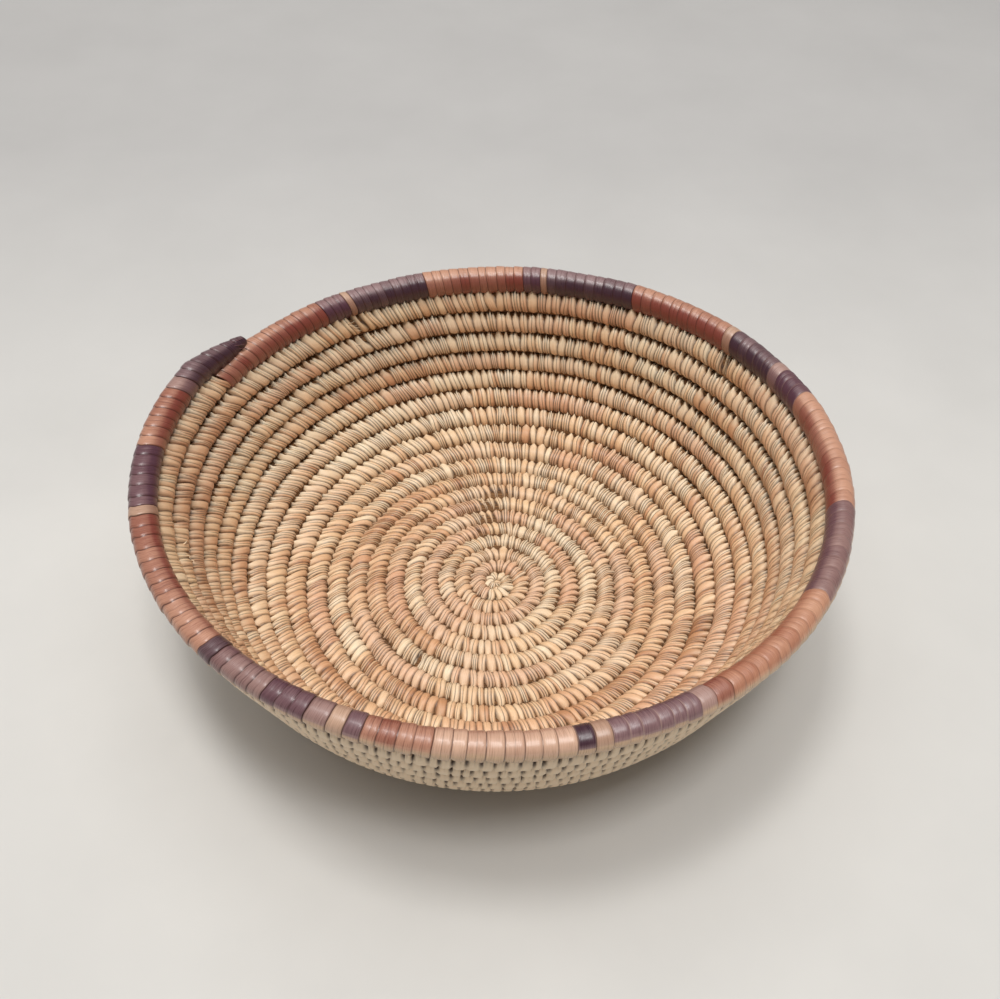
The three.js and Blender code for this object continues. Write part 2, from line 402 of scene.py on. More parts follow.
@dataclass
class Stitches:
    """Where the surface's columns lie along the coil, and what each one is part of.

    share is a column's place in its stitch and within its place in its strand, from 0 to 1. notch is 1
    between two stitches, crease between two strands and flank close beside a notch.
    """

    distance: Array
    share: Array
    within: Array
    notch: Array
    crease: Array
    flank: Array
    stitch: Array
    strand: Array

    COLUMNS = 8
    FLANK = 0.10
    BESIDE_CREASE = 0.09
    ODDS = (0.26, 0.5, 0.24)

    @classmethod
    def sew(cls, edges: Array, rng: Random) -> "Stitches":
        """Divides each stitch into 1, 2 or 3 strands and gives it eight columns.

        A stitch with one strand has its columns at fixed shares of its width. A second strand puts a
        crease, with a close column on each side, near the middle, and a third puts one near each third.

        Args:
            edges: distances along the coil of the boundaries between stitches.
            rng: the source of the random draws.

        Returns:
            The columns of all stitches, and one last column at the end.
        """
        count = len(edges) - 1
        kind = rng.choice([1, 2, 3], size=count, p=cls.ODDS)
        middle = rng.uniform(0.40, 0.60, count)
        first = rng.uniform(0.29, 0.38, count)
        second = rng.uniform(0.62, 0.71, count)

        def choose(*rows: tuple) -> Array:
            """Takes, for each stitch, the row of its kind, with a number for each stitch in each place."""
            table = np.array([[np.broadcast_to(value, count) for value in row] for row in rows])
            return table[kind - 1, :, np.arange(count)]

        start, end, close = cls.FLANK, 1 - cls.FLANK, cls.BESIDE_CREASE
        choice = choose(
            (0, start, 0.24, 0.38, 0.5, 0.62, 0.76, end),
            (0, start, middle / 2, middle - close, middle, middle + close, (1 + middle) / 2, end),
            (0, start, 0.2, first, 0.5, second, 0.8, end),
        )
        strands = choose((0,) * 8, (0, 0, 0, 0, 1, 1, 1, 1), (0, 0, 0, 1, 1, 2, 2, 2))
        creases = choose((0,) * 8, (0, 0, 0, 0, 1, 0, 0, 0), (0, 0, 0, 1, 0, 1, 0, 0))
        bounds = choose((0, 1, 1, 1), (0, middle, 1, 1), (0, first, second, 1))
        left = np.take_along_axis(bounds, strands, 1)
        right = np.take_along_axis(bounds, strands + 1, 1)
        before = np.concatenate([[0], np.cumsum(kind)[:-1]])
        places = np.arange(cls.COLUMNS)
        notches = np.tile(places == 0, count).astype(float)
        flanks = np.tile((places == 1) | (places == cls.COLUMNS - 1), count).astype(float)
        return cls(
            distance=np.append((edges[:-1, None] + choice * np.diff(edges)[:, None]).ravel(), edges[-1]),
            share=np.append(choice.ravel(), 0.0),
            within=np.append(((choice - left) / (right - left)).ravel(), 0.0),
            notch=np.append(notches, 1.0),
            crease=np.append(creases.ravel(), 0.0),
            flank=np.append(flanks, 0.0),
            stitch=np.append(np.repeat(np.arange(count), cls.COLUMNS), count),
            strand=np.append((before[:, None] + strands).ravel(), kind.sum()),
        )

    def spread(self, values: Array) -> Array:
        """Gives each column the value of its stitch, as a column of a grid."""
        return values[self.stitch][:, None]


def even_edges(line: CoilLine, first: float, last: float, widths: Array, turns: Array, jitter: float,
               rng: Random) -> Array:
    """Spaces boundaries along the coil at a width that changes with the turn.

    The count up to a distance is the sum of 1 over the width, rounded to a whole number at the end. Each
    inner boundary moves from its even place by a random share of the width.

    Args:
        line: the coil's centre line.
        first: distance of the first boundary.
        last: distance of the last boundary.
        widths: wanted widths at the given turns.
        turns: the turns of those widths.
        jitter: greatest move of a boundary, as a share of the width.
        rng: the source of the random draws.

    Returns:
        The distances of all boundaries.
    """
    step = 0.5 * MILLIMETRE
    least_samples = 8
    track = np.linspace(first, last, max(int((last - first) / step), least_samples))
    pace = 1 / np.interp(line.turn_at(track), turns, widths)
    count = np.concatenate([[0], np.cumsum((pace[:-1] + pace[1:]) / 2 * np.diff(track))])
    whole = max(round(count[-1]), 1)
    marks = np.arange(whole + 1, dtype=float)
    marks[1:-1] += rng.uniform(-jitter, jitter, whole - 1)
    return np.interp(marks / whole * count[-1], count, track)


class Wander:
    """Small unevenness along the coil, as a sum of sine waves."""

    def __init__(self, size: float, waves: tuple[float, ...], rng: Random) -> None:
        """Draws the phase of each wave.

        Args:
            size: height of the sum's larger swings, in metres.
            waves: wavelengths in metres.
            rng: the source of the random draws.
        """
        self.size = size / math.sqrt(len(waves))
        self.waves = waves
        self.phases = rng.uniform(0, 2 * math.pi, len(waves))

    def at(self, distance: Array) -> Array:
        """Sums the waves at distances along the coil."""
        total = np.zeros_like(distance)
        for wave, phase in zip(self.waves, self.phases):
            total += np.sin(2 * math.pi * distance / wave + phase)
        return total * self.size


class NodeBoard:
    """One material's node tree, with short calls for the nodes that the finishes share."""

    def __init__(self, name: str) -> None:
        """Starts a material with a shader and an output."""
        self.material = bpy.data.materials.new(name)
        self.material.use_nodes = True
        self.tree = self.material.node_tree
        self.tree.nodes.clear()
        self.shader = self.tree.nodes.new("ShaderNodeBsdfPrincipled")
        self.add("OutputMaterial", {"Surface": self.shader.outputs["BSDF"]})

    def put(self, value: object, target: Socket) -> None:
        """Links a socket to the target, or sets the target to a plain value."""
        if isinstance(value, Socket):
            self.tree.links.new(value, target)
        else:
            target.default_value = value

    def add(self, kind: str, inputs: dict, output: str | int | None = None,
            **settings: object) -> Socket | None:
        """Adds a node, sets it up and fills its inputs.

        Args:
            kind: the node's type, without the words that all shader nodes start with.
            inputs: a socket or a plain value for the name or number of each input.
            output: name or number of the output that is wanted.
            settings: the node's own settings, which are set before its inputs.

        Returns:
            The wanted output, if any.
        """
        node = self.tree.nodes.new("ShaderNode" + kind)
        for name, setting in settings.items():
            setattr(node, name, setting)
        for name, value in inputs.items():
            self.put(value, node.inputs[name])
        return None if output is None else node.outputs[output]

    def attribute(self, name: str) -> Socket:
        """Reads a value of the mesh by its name."""
        return self.add("Attribute", {}, "Fac", attribute_name=name)

    def strip_place(self, along: float, round_way: float) -> Socket:
        """Gives the place on the strip, stretched by one scale along the coil and another round it."""
        place = self.add("UVMap", {}, "UV", uv_map="strip")
        return self.add("Mapping", {"Vector": place, "Scale": (along, round_way, 1.0)}, "Vector")

    def object_place(self) -> Socket:
        """Gives the place in the object's own coordinates."""
        return self.add("TexCoord", {}, "Object")

    def noise(self, place: Socket, scale: float, detail: float = 3.0, roughness: float = 0.55) -> Socket:
        """Adds a noise of about 0 to 1 at a place, with finer layers by its detail and roughness."""
        inputs = {"Vector": place, "Scale": scale, "Detail": detail, "Roughness": roughness}
        return self.add("TexNoise", inputs, "Fac")

    def math(self, operation: str, first: object, second: object) -> Socket:
        """Combines two values by a named operation, and keeps the result between 0 and 1."""
        return self.add("Math", {0: first, 1: second}, "Value", operation=operation, use_clamp=True)

    def spread(self, value: Socket, low: float, high: float, to_low: float, to_high: float) -> Socket:
        """Maps the range from low to high to the one from to_low to to_high, and clamps values there."""
        ranges = {"From Min": low, "From Max": high, "To Min": to_low, "To Max": to_high}
        return self.add("MapRange", {"Value": value, **ranges}, "Result")

    def mix(self, share: object, low: object, high: object, blend: str = "MIX") -> Socket:
        """Mixes two colours, of which the second one shows by the share."""
        return self.add("Mix", {0: share, 6: low, 7: high}, 2, data_type="RGBA", blend_type=blend)

    def ramp(self, value: Socket, *stops: tuple[float, Colour]) -> Socket:
        """Turns a value into a colour by a row of stops.

        Args:
            value: the value, from 0 to 1.
            stops: places and the colours at them, in rising order.

        Returns:
            The colour.
        """
        colours = self.add("ValToRGB", {"Fac": value}, "Color")
        elements = colours.node.color_ramp.elements
        while len(elements) < len(stops):
            elements.new(0.5)
        for element, (place, shade) in zip(elements, stops):
            element.position = place
            element.color = shade
        return colours

    def surface(self, base: Socket, roughness: object, height: Socket, depth: float, strength: float) -> None:
        """Completes the shader.

        Args:
            base: its colour.
            roughness: its roughness, a socket or a number.
            height: a height map from 0 to 1, by which the normals bend.
            depth: the height in metres that 1 stands for.
            strength: how much of the bending shows.
        """
        relief = {"Height": height, "Distance": depth, "Strength": strength}
        self.put(self.add("Bump", relief, "Normal"), self.shader.inputs["Normal"])
        self.put(base, self.shader.inputs["Base Color"])
        self.put(roughness, self.shader.inputs["Roughness"])


@dataclass(frozen=True)
class Leaf:
    """What natural and dyed leaf share: fibres along the strip, dark lines, gloss and relief."""

    fibre_scale: Pair
    fibre_roughness: float
    streak: Colour
    streak_share: float
    line_power: float
    line_share: float
    gloss: Pair
    relief_depth: float
    relief_strength: float

    def fibres(self, board: NodeBoard) -> Socket:
        """Adds the noise of the fibres, drawn out along the strip."""
        return board.noise(board.strip_place(*self.fibre_scale), 1.0, 4.0, self.fibre_roughness)

    def streaked(self, board: NodeBoard, base: Socket, fibre: Socket) -> Socket:
        """Darkens a colour between the fibres, by streak_share of the streak's colour."""
        streaks = board.ramp(fibre, (0.30, self.streak), (0.60, WHITE))
        return board.mix(self.streak_share, base, streaks, "MULTIPLY")

    def complete(self, board: NodeBoard, base: Socket, line: object, fibre: Socket) -> bpy.types.Material:
        """Draws the lines over the colour, by a power of the seam value, and adds gloss and relief.

        Args:
            board: the material's nodes.
            base: the colour between the lines.
            line: the lines' colour.
            fibre: the noise of the fibres.

        Returns:
            The material.
        """
        # The lines are partly dark joints and partly painted shade.
        seam = board.math("POWER", board.attribute("seam"), self.line_power)
        base = board.mix(board.math("MULTIPLY", seam, self.line_share), base, line)
        roughness = board.spread(fibre, 0.2, 0.8, *self.gloss)
        board.surface(base, roughness, fibre, self.relief_depth, self.relief_strength)
        return board.material


@dataclass(frozen=True)
class NaturalFinish:
    """Undyed palm leaf: cream to tan strips with fine fibres along them, brown creases that are partly
    painted shade, and a painted highlight on the stitches' tips.
    """

    slot: str = "natural_strip"
    cream: Colour = colour(255, 238, 206)
    straw: Colour = colour(248, 212, 168)
    tan: Colour = colour(222, 171, 128)
    brown: Colour = colour(184, 130, 90)
    pink: Colour = colour(232, 182, 148)
    # Painted highlight: the colour of the stitches' upper tips, where light from above falls.
    tip: Colour = colour(255, 238, 207)
    under: Colour = colour(246, 217, 182)
    # The lines' colour: partly the leaf's dark joints and partly painted shade between stitches and turns.
    crease: Colour = colour(50, 24, 12)
    patch_scale: float = 38.0
    patch_tone: float = 0.16
    cover: float = 0.8
    leaf: Leaf = Leaf(
        fibre_scale=(330.0, 14.0),
        fibre_roughness=0.6,
        streak=colour(214, 200, 188),
        streak_share=0.75,
        line_power=1.35,
        line_share=0.92,
        gloss=(0.33, 0.55),
        relief_depth=0.3 * MILLIMETRE,
        relief_strength=0.7,
    )

    def material(self) -> bpy.types.Material:
        """Builds the material: strip tone, pinkish cast, fibres, patches of age and dark creases.

        The tone and the patches pick a colour from cream to brown. The fade value then goes,
        up to a half, to the tip colour, a painted highlight where light from above falls on the stitches'
        tips, and from there to the colour of the outer side. The dark creases are partly painted shade.

        Returns:
            The material.
        """
        board = NodeBoard(self.slot)
        fibre = self.leaf.fibres(board)
        patch = board.noise(board.object_place(), self.patch_scale)
        tone = board.math("ADD", board.attribute("tone"), board.spread(patch, 0.3, 0.7, 0.0, self.patch_tone))
        base = board.ramp(tone, (0.0, self.cream), (0.38, self.straw), (0.72, self.tan), (1.0, self.brown))
        base = board.mix(board.attribute("blush"), base, self.pink)
        base = self.leaf.streaked(board, base, fibre)
        fade = board.attribute("fade")
        # Painted highlight on the stitches' tips, then the outer side's own paler colour.
        base = board.mix(board.spread(fade, 0.0, 0.5, 0.0, self.cover), base, self.tip)
        base = board.mix(board.spread(fade, 0.5, 1.0, 0.0, self.cover), base, self.under)
        return self.leaf.complete(board, base, self.crease, fibre)


class Dye(Enum):
    """The dyes of the rim: the strip's colour where it took fully, and where it is worn."""

    BRICK = ("brick", colour(136, 70, 58), colour(204, 154, 128))
    BROWN = ("brown", colour(164, 100, 76), colour(212, 162, 132))
    BLUSH = ("blush", colour(178, 128, 108), colour(216, 176, 150))
    TAN = ("tan", colour(164, 124, 104), colour(198, 162, 138))
    MAUVE = ("mauve", colour(112, 78, 82), colour(176, 142, 132))
    PURPLE = ("purple", colour(92, 58, 70), colour(158, 126, 124))
    PLUM = ("plum", colour(72, 46, 56), colour(152, 124, 124))

    @property
    def label(self) -> str:
        """The dye's name."""
        return self.value[0]


@dataclass(frozen=True)
class DyedFinish:
    """Dyed palm leaf: glossier, streaked along its fibres, worn paler on top and bare low outside."""

    dye: Dye
    bare: Colour = colour(222, 186, 150)
    crease: Colour = colour(58, 26, 22)
    thread: Colour = colour(204, 172, 156)
    patch_scale: float = 60.0
    uneven: float = 0.16
    strip_wear: Pair = (-0.25, 0.45)
    leaf: Leaf = Leaf(
        fibre_scale=(260.0, 9.0),
        fibre_roughness=0.62,
        streak=colour(206, 198, 196),
        streak_share=0.6,
        line_power=1.3,
        line_share=0.9,
        gloss=(0.21, 0.40),
        relief_depth=0.2 * MILLIMETRE,
        relief_strength=0.35,
    )

    @property
    def slot(self) -> str:
        """The record's material slot."""
        return f"dyed_{self.dye.label}"

    def material(self) -> bpy.types.Material:
        """Builds the material: full and worn dye by the fade value, bare leaf past it, dark creases.

        Fibres and patches make the wear and the border of the bare leaf uneven, and each strip's tone
        adds to its wear. The blush value turns the dark lines pale.

        Returns:
            The material.
        """
        _, full, worn = self.dye.value
        board = NodeBoard(self.slot)
        fibre = self.leaf.fibres(board)
        patch = board.noise(board.object_place(), self.patch_scale, 2.0)
        fade = board.attribute("fade")
        mottle = board.math("ADD", board.math("MULTIPLY", fibre, 0.6), board.math("MULTIPLY", patch, 0.4))
        uneven = board.spread(mottle, 0.35, 0.65, -self.uneven, self.uneven)
        wear = board.math("ADD", board.spread(fade, 0.0, 0.6, 0.0, 1.0), uneven)
        wear = board.math("ADD", wear, board.spread(board.attribute("tone"), 0.0, 1.0, *self.strip_wear))
        base = board.mix(wear, full, worn)
        bareness = board.spread(fade, 0.66, 1.0, 0.0, 1.0)
        bareness = board.math("ADD", bareness, board.math("MULTIPLY", uneven, 0.6))
        bareness = board.math("MULTIPLY", bareness, board.spread(fade, 0.60, 0.72, 0.0, 1.0))
        base = board.mix(bareness, base, self.bare)
        base = self.leaf.streaked(board, base, fibre)
        line = board.mix(board.attribute("blush"), self.crease, self.thread)
        return self.leaf.complete(board, base, line, fibre)


@dataclass(frozen=True)
class GrassFinish:
    """The dry grass inside the wrapping: brown stalks along the coil, darkened partly as painted shade in the
    gaps between stitches.
    """

    slot: str = "grass_bundle"
    # Both colours are darkened as painted shade where the grass shows in the gaps between stitches.
    stalk: Colour = colour(136, 98, 60)
    shade: Colour = colour(74, 46, 26)
    stalk_scale: Pair = (6.0, 160.0)
    roughness: float = 0.9
    relief_depth: float = 0.4 * MILLIMETRE
    relief_strength: float = 0.8

    def material(self) -> bpy.types.Material:
        """Builds the material: long streaks along the coil, matt.

        Returns:
            The material.
        """
        board = NodeBoard(self.slot)
        stalks = board.noise(board.strip_place(*self.stalk_scale), 1.0)
        base = board.ramp(stalks, (0.35, self.shade), (0.62, self.stalk))
        board.surface(base, self.roughness, stalks, self.relief_depth, self.relief_strength)
        return board.material


Finish = NaturalFinish | DyedFinish | GrassFinish


class Section:
    """The stitched coil's cross-section: round into the bowl and flatter outside.

    inward, outward and edge tell how far a point faces into the bowl, away from it and to a neighbouring
    turn, each from 0 to 1. slots is 1 in the middle of the two rows of slots outside. around is the
    angle from 0 to 360 degrees, and degrees is the same angle from -180 to 180.
    """

    SLOT_MIDDLES = (314.0, 226.0)
    SLOT_WIDTH = 29.0
    SLANT_LEAST = 0.13
    SLANT_UNDER = 0.12
    SLANT_CHANGE = (-0.6, 0.0)

    def __init__(self, angles: Array) -> None:
        """Works out the shares of each side: edge is the cube of the cosine, without its sign.

        Args:
            angles: the angles round the section, in radians from 0 to a whole turn.
        """
        self.cosine = np.cos(angles)[None]
        self.sine = np.sin(angles)[None]
        self.inward = np.clip(self.sine, 0, 1)
        self.outward = np.clip(-self.sine, 0, 1)
        self.edge = np.abs(self.cosine) ** 3
        self.around = np.degrees(angles)[None]
        self.degrees = (self.around + 180) % 360 - 180
        self.slots = sum(bump(self.around, middle, self.SLOT_WIDTH) for middle in self.SLOT_MIDDLES)

    def slant(self, half: Array, azimuth: Array, more: float) -> Array:
        """Moves the surface along the coil by its cosine, so that each strip lies slantwise.

        Inside the bowl the strip's upper end lies back and its lower end forward, by SLANT_LEAST of the
        half thickness at the front and back, and by more on top of that at the sides, following the
        square of the azimuth's sine. Outside the share changes smoothly to SLANT_UNDER, between the
        two sines of SLANT_CHANGE.

        Args:
            half: half the coil's thickness at each column.
            azimuth: place of each column round the bowl, in radians.
            more: how much more the strips slant at the sides.

        Returns:
            The move along the coil of each point.
        """
        under, whole = self.SLANT_CHANGE
        inside = self.SLANT_LEAST + more * np.sin(azimuth) ** 2
        share = self.SLANT_UNDER + (inside - self.SLANT_UNDER) * smooth_step(self.sine, under, whole)
        return -share * half * self.cosine

    def outline(self, half: Array, reach_up: Array | float, reach_down: Array | float,
                power: float) -> tuple[Array, Array]:
        """Gives the plain outline: half a circle inside and half a superellipse outside.

        Inside, across is the cosine times the half width and out is the sine times the half thickness.
        Outside, both the cosine and the sine are first raised to 2 over power, and out is FLAT_SHARE of
        the half thickness. The half width is longer than the half thickness at both edges, by a square
        of the cosine, so that the stitches of neighbouring turns reach between each other.

        Args:
            half: half the coil's thickness at each column.
            reach_up: extra half width at the upper edge.
            reach_down: extra half width at the lower edge.
            power: the superellipse's power outside, 2 for an ellipse and more for a flatter side.

        Returns:
            The across and out distances of each point.
        """
        width = half + np.where(self.cosine > 0, reach_up, reach_down) * self.cosine ** 2
        root = 2 / power
        outside = self.sine < 0
        flat_across = np.sign(self.cosine) * np.abs(self.cosine) ** root
        across_share = np.where(outside, flat_across, self.cosine)
        out_share = np.where(outside, -FLAT_SHARE * np.abs(self.sine) ** root, self.sine)
        return width * across_share, half * out_share


@dataclass(frozen=True)
class Strengths:
    """How strong a groove or line is inside the bowl, at the coil's edges, outside and in the slots."""

    inside: float = 0.0
    edge: float = 0.0
    outside: float = 0.0
    slot: float = 0.0

    def at(self, section: Section, inward: Array, slot: Array) -> Array:
        """Sums the strengths, each times how far a point belongs to its side or to a slot."""
        sides = self.inside * inward + self.edge * section.edge + self.outside * section.outward
        return sides + self.slot * slot


@dataclass(frozen=True)
class StitchLook:
    """Numbers of the natural stitches. A pair holds the value on the floor and the one up the back wall.

    Depths and reaches are in millimetres, and shrink with a coil that is thinner than a whole one. The
    spreads are standard deviations. The lines are shares of the darkest line.
    """

    lean_spread: float = 0.11
    reach_spread: float = 0.25
    stand_spread: float = 0.16
    slot_range: Pair = (0.45, 1.15)
    slant_more: float = 0.52
    slant_azimuth: float = 20.0
    outer_power: float = 3.2
    tooth_up: Pair = (2.1, 2.5)
    tooth_down: Pair = (0.75, 0.05)
    tooth_over_rim: float = 1.7
    notch_depth: Strengths = Strengths(0.62, 1.3, 0.10, 2.2)
    crease_depth: Strengths = Strengths(0.34, 0.55, 0.05)
    crease_up_wall: float = 0.7
    flank_depth: float = 1.5
    gap_depth: float = 3.0
    crown_depth: float = 0.16
    point_up: Pair = (1.7, 2.6)
    point_down: float = 1.1
    point_power: Pair = (1.2, 0.9)
    strand_point: float = 1.2
    tip_rise: Pair = (0.6, 3.1)
    tip_power: float = 1.4
    notch_line: Strengths = Strengths(0.95, 1.0, 0.08, 2.4)
    crease_line: Strengths = Strengths(0.85, 0.7, 0.05)
    flank_line: Strengths = Strengths(0.42, slot=1.6)
    gap_line: float = 1.6
    inside_line: Pair = (1.2, 1.0)
    # How much weaker the lines, with their painted shade, are at the front, low on each turn.
    front_loss: float = 0.4
    # The next two are painted shade: on the lower side of each turn and on the sides of the stitches' ends.
    valley_shade: Pair = (0.30, 0.36)
    edge_shade: Pair = (0.42, 0.36)
    # Strength of the painted highlight on the stitches' tips, on the floor and up the back wall.
    tip_highlight: Pair = (0.35, 1.0)


class StitchGrid:
    """What each point of the natural coil is part of: a row for each column, a place for each angle.

    small is the coil's size against a whole one. back is 1 at the back of the bowl and 0 at its front,
    and wall rises from 0 on the floor to 1 up the back wall. upper and lower tell how far a point lies
    at the edge towards the next turn and the turn before.
    """

    WHOLE_HALF = 3.6 * MILLIMETRE
    LEAST_SIZE = 0.3
    EDGE_SINE = -0.2
    FRONT_WALL = 0.3

    def __init__(self, line: CoilLine, sewn: Stitches, section: Section, look: StitchLook,
                 rng: Random) -> None:
        """Draws each stitch's lean, reach, slot and stand, and lays its columns along the slant.

        Args:
            line: the coil's centre line.
            sewn: the columns.
            section: the cross-section.
            look: the stitches' numbers.
            rng: the source of the random draws.
        """
        stitches = int(sewn.stitch.max()) + 1
        lean = sewn.spread(rng.normal(0, look.lean_spread, stitches))
        self.section = section
        self.reach = 1 + sewn.spread(rng.normal(0, look.reach_spread, stitches))
        self.slot = sewn.spread(rng.uniform(*look.slot_range, stitches)) * section.slots
        self.stand = sewn.spread(rng.normal(0, look.stand_spread, stitches)) * section.inward

        plain = line.turn_at(sewn.distance)[:, None]
        half = line.thickness_at(plain) / 2
        azimuth = line.azimuth_at(plain) - math.radians(look.slant_azimuth)
        move = section.slant(half, azimuth, look.slant_more)
        move = move - lean * half * section.cosine * section.inward
        self.turn = line.turn_at(sewn.distance[:, None] + move)
        self.half = line.thickness_at(self.turn) / 2
        self.small = np.clip(self.half / self.WHOLE_HALF, self.LEAST_SIZE, 1)
        self.back = smooth_step(np.cos(line.azimuth_at(self.turn)), -0.3, 0.5)
        self.wall = smooth_step(self.turn, 7.0, 15.0) * blend((self.FRONT_WALL, 1), self.back)

        self.notch, self.crease, self.flank = (v[:, None] for v in (sewn.notch, sewn.crease, sewn.flank))
        self.from_middle = np.where(self.notch > 0, 1, np.abs(2 * sewn.share[:, None] - 1))
        self.from_strand = np.abs(2 * sewn.within[:, None] - 1)
        not_outside = section.sine > self.EDGE_SINE
        self.upper_side = (section.cosine > 0) & not_outside
        self.upper = section.edge * self.upper_side
        self.lower = section.edge * ((section.cosine < 0) & not_outside)


@dataclass(frozen=True)
class Flaw:
    """A broken or missing stitch: its turn, half length in millimetres, and angle and half angle."""

    turn: float
    half_length: float
    angle: float
    half_angle: float


@dataclass
class NaturalCoil:
    """The stitched natural coil, one piece for each turn, and the curl that it starts from."""

    line: CoilLine
    finish: NaturalFinish = NaturalFinish()
    look: StitchLook = StitchLook()
    seed: int = 11
    inside_steps: int = 12
    outside_steps: int = 12
    round_length: float = 34 * MILLIMETRE
    width_turns: tuple[float, ...] = (-1.5, 0.0, 3.0, 10.0, 18.0)
    widths: tuple[float, ...] = (2.2, 3.3, 3.9, 4.5, 5.0)
    jitter: float = 0.22
    run_stitches: tuple[int, int] = (4, 15)
    flaws: tuple[Flaw, ...] = (
        Flaw(6.252, 7.0, 125.0, 50.0),
        Flaw(5.236, 5.5, 120.0, 55.0),
        Flaw(4.235, 5.5, 125.0, 50.0),
        Flaw(3.205, 1.5, 120.0, 40.0),
        Flaw(5.853, 2.5, 80.0, 40.0),
        Flaw(17.158, 4.0, 50.0, 60.0),
        Flaw(16.160, 3.0, 40.0, 40.0),
        Flaw(17.407, 2.5, 60.0, 40.0),
        Flaw(16.951, 3.5, 130.0, 50.0),
    )

    def build(self) -> None:
        """Sews the whole coil and cuts it into its pieces at the stitches nearest to the nodes' ends."""
        rng = np.random.default_rng(self.seed)
        sizes = self.line.sizes
        first = self.line.distance_at(-sizes.curl_turns)
        last = self.line.distance_at(sizes.coil_turns)
        widths = np.array(self.widths) * MILLIMETRE
        edges = even_edges(self.line, first, last, widths, np.array(self.width_turns), self.jitter, rng)
        skin = self._skin(Stitches.sew(edges, rng), rng)
        marks = self.line.distance_at(np.array([*range(sizes.whole_turns), sizes.coil_turns]))
        cuts = [0, *(int(np.abs(edges - mark).argmin()) for mark in marks)]
        material = self.finish.material()
        for number, (start, end) in enumerate(zip(cuts[:-1], cuts[1:])):
            name, node = f"natural_coil_{number:02d}", f"coil_wrap_{number:02d}"
            if number == 0:
                name, node = "start_curl", "start_knot"
            piece = skin.part(start * Stitches.COLUMNS, end * Stitches.COLUMNS).build(name)
            dress(piece, material, self.finish.slot, node)

    def _skin(self, sewn: Stitches, rng: Random) -> TubeSkin:
        """Works out the surface of the whole natural coil as one grid of columns by angles.

        A point starts on the section's outline, which has teeth that reach up between the stitches of
        the next turn and down to the turn before. It moves towards the centre line by its depth over the
        half thickness. The line's own sideways wander and swell are added, and the tips of the stitches
        lift off upwards, most in the middle of a stitch and by the fourth power of the cosine.

        Args:
            sewn: the columns.
            rng: the source of the random draws.

        Returns:
            The surface with its values.
        """
        line, look = self.line, self.look
        section = Section(round_angles(self.inside_steps, self.outside_steps))
        grid = StitchGrid(line, sewn, section, look, rng)
        last_turn = line.sizes.coil_turns - 1
        over_rim = look.tooth_over_rim * smooth_step(grid.turn, last_turn - 0.01, last_turn + 0.01)
        teeth = grid.reach * grid.small * MILLIMETRE
        reach_up = blend(look.tooth_up, grid.wall) * teeth + over_rim * MILLIMETRE
        reach_down = blend(look.tooth_down, grid.wall) * teeth
        across, out = section.outline(grid.half, reach_up, reach_down, look.outer_power)
        gap = self._gap(grid, sewn.distance)
        shrink = 1 - self._depth(grid, gap) * MILLIMETRE / grid.half
        sideways = Wander(0.30 * MILLIMETRE, (0.041, 0.067, 0.113, 0.190), rng).at(sewn.distance)
        swell = Wander(0.22 * MILLIMETRE, (0.023, 0.037, 0.059), rng).at(sewn.distance)
        rise = blend(look.tip_rise, grid.wall) * grid.small * (1 - grid.from_middle ** look.tip_power)
        lifted = rise * MILLIMETRE * grid.upper_side * section.cosine ** 4
        out = out * shrink + swell[:, None] * section.inward + lifted
        tone, blush = self._tones(sewn, rng)
        return TubeSkin(
            rings=line.place(grid.turn, across * shrink + sideways[:, None], out),
            along=sewn.distance,
            round_length=self.round_length,
            seam=self._lines(grid, gap),
            fade=self._paleness(grid),
            tone=tone,
            blush=blush,
        )

    def _depth(self, grid: StitchGrid, gap: Array) -> Array:
        """Works out how deep each point lies under the plain outline, in millimetres.

        It is the sum of the notch between two stitches, deep at the coil's edges and in its slots, the
        shallower crease between strands, and powers of the distance from the stitch's middle, which
        round its crown and point its ends. Each stitch stands a little higher or lower, all of this
        shrinks with a thin coil, and a broken stitch goes deeper still.

        Args:
            grid: the points.
            gap: how broken each point is.

        Returns:
            The depth of each point.
        """
        look, section, slot = self.look, grid.section, grid.slot
        depth = grid.notch * look.notch_depth.at(section, section.inward, slot)
        depth = depth + grid.flank * look.flank_depth * slot
        fold = look.crease_depth.at(section, section.inward, slot)
        depth = depth + grid.crease * (fold + look.crease_up_wall * grid.upper * grid.wall)
        depth = depth + look.crown_depth * section.inward * grid.from_middle ** 2
        ends = blend(look.point_up, grid.wall) * grid.upper + look.point_down * grid.lower
        depth = depth + ends * grid.from_middle ** blend(look.point_power, grid.wall)
        depth = depth + look.strand_point * grid.upper * grid.wall * grid.from_strand
        return (depth - grid.stand) * grid.small + look.gap_depth * gap

    def _gap(self, grid: StitchGrid, distance: Array) -> Array:
        """Tells how broken each point is: bumps along the coil and round it, strongest beside a notch.

        Args:
            grid: the points.
            distance: distance of each column along the coil.

        Returns:
            How broken each point is, from 0 to 1.
        """
        total = np.zeros_like(grid.turn)
        for flaw in self.flaws:
            place = self.line.distance_at(flaw.turn)
            round_it = bump(grid.section.degrees, flaw.angle, flaw.half_angle)
            total += bump(distance, place, flaw.half_length * MILLIMETRE)[:, None] * round_it
        beside = smooth_step(grid.from_middle, 0.2, 0.8)
        share = np.clip(0.2 + grid.notch + grid.flank + 0.8 * grid.crease + beside, 0, 1)
        return share * np.clip(total, 0, 1)

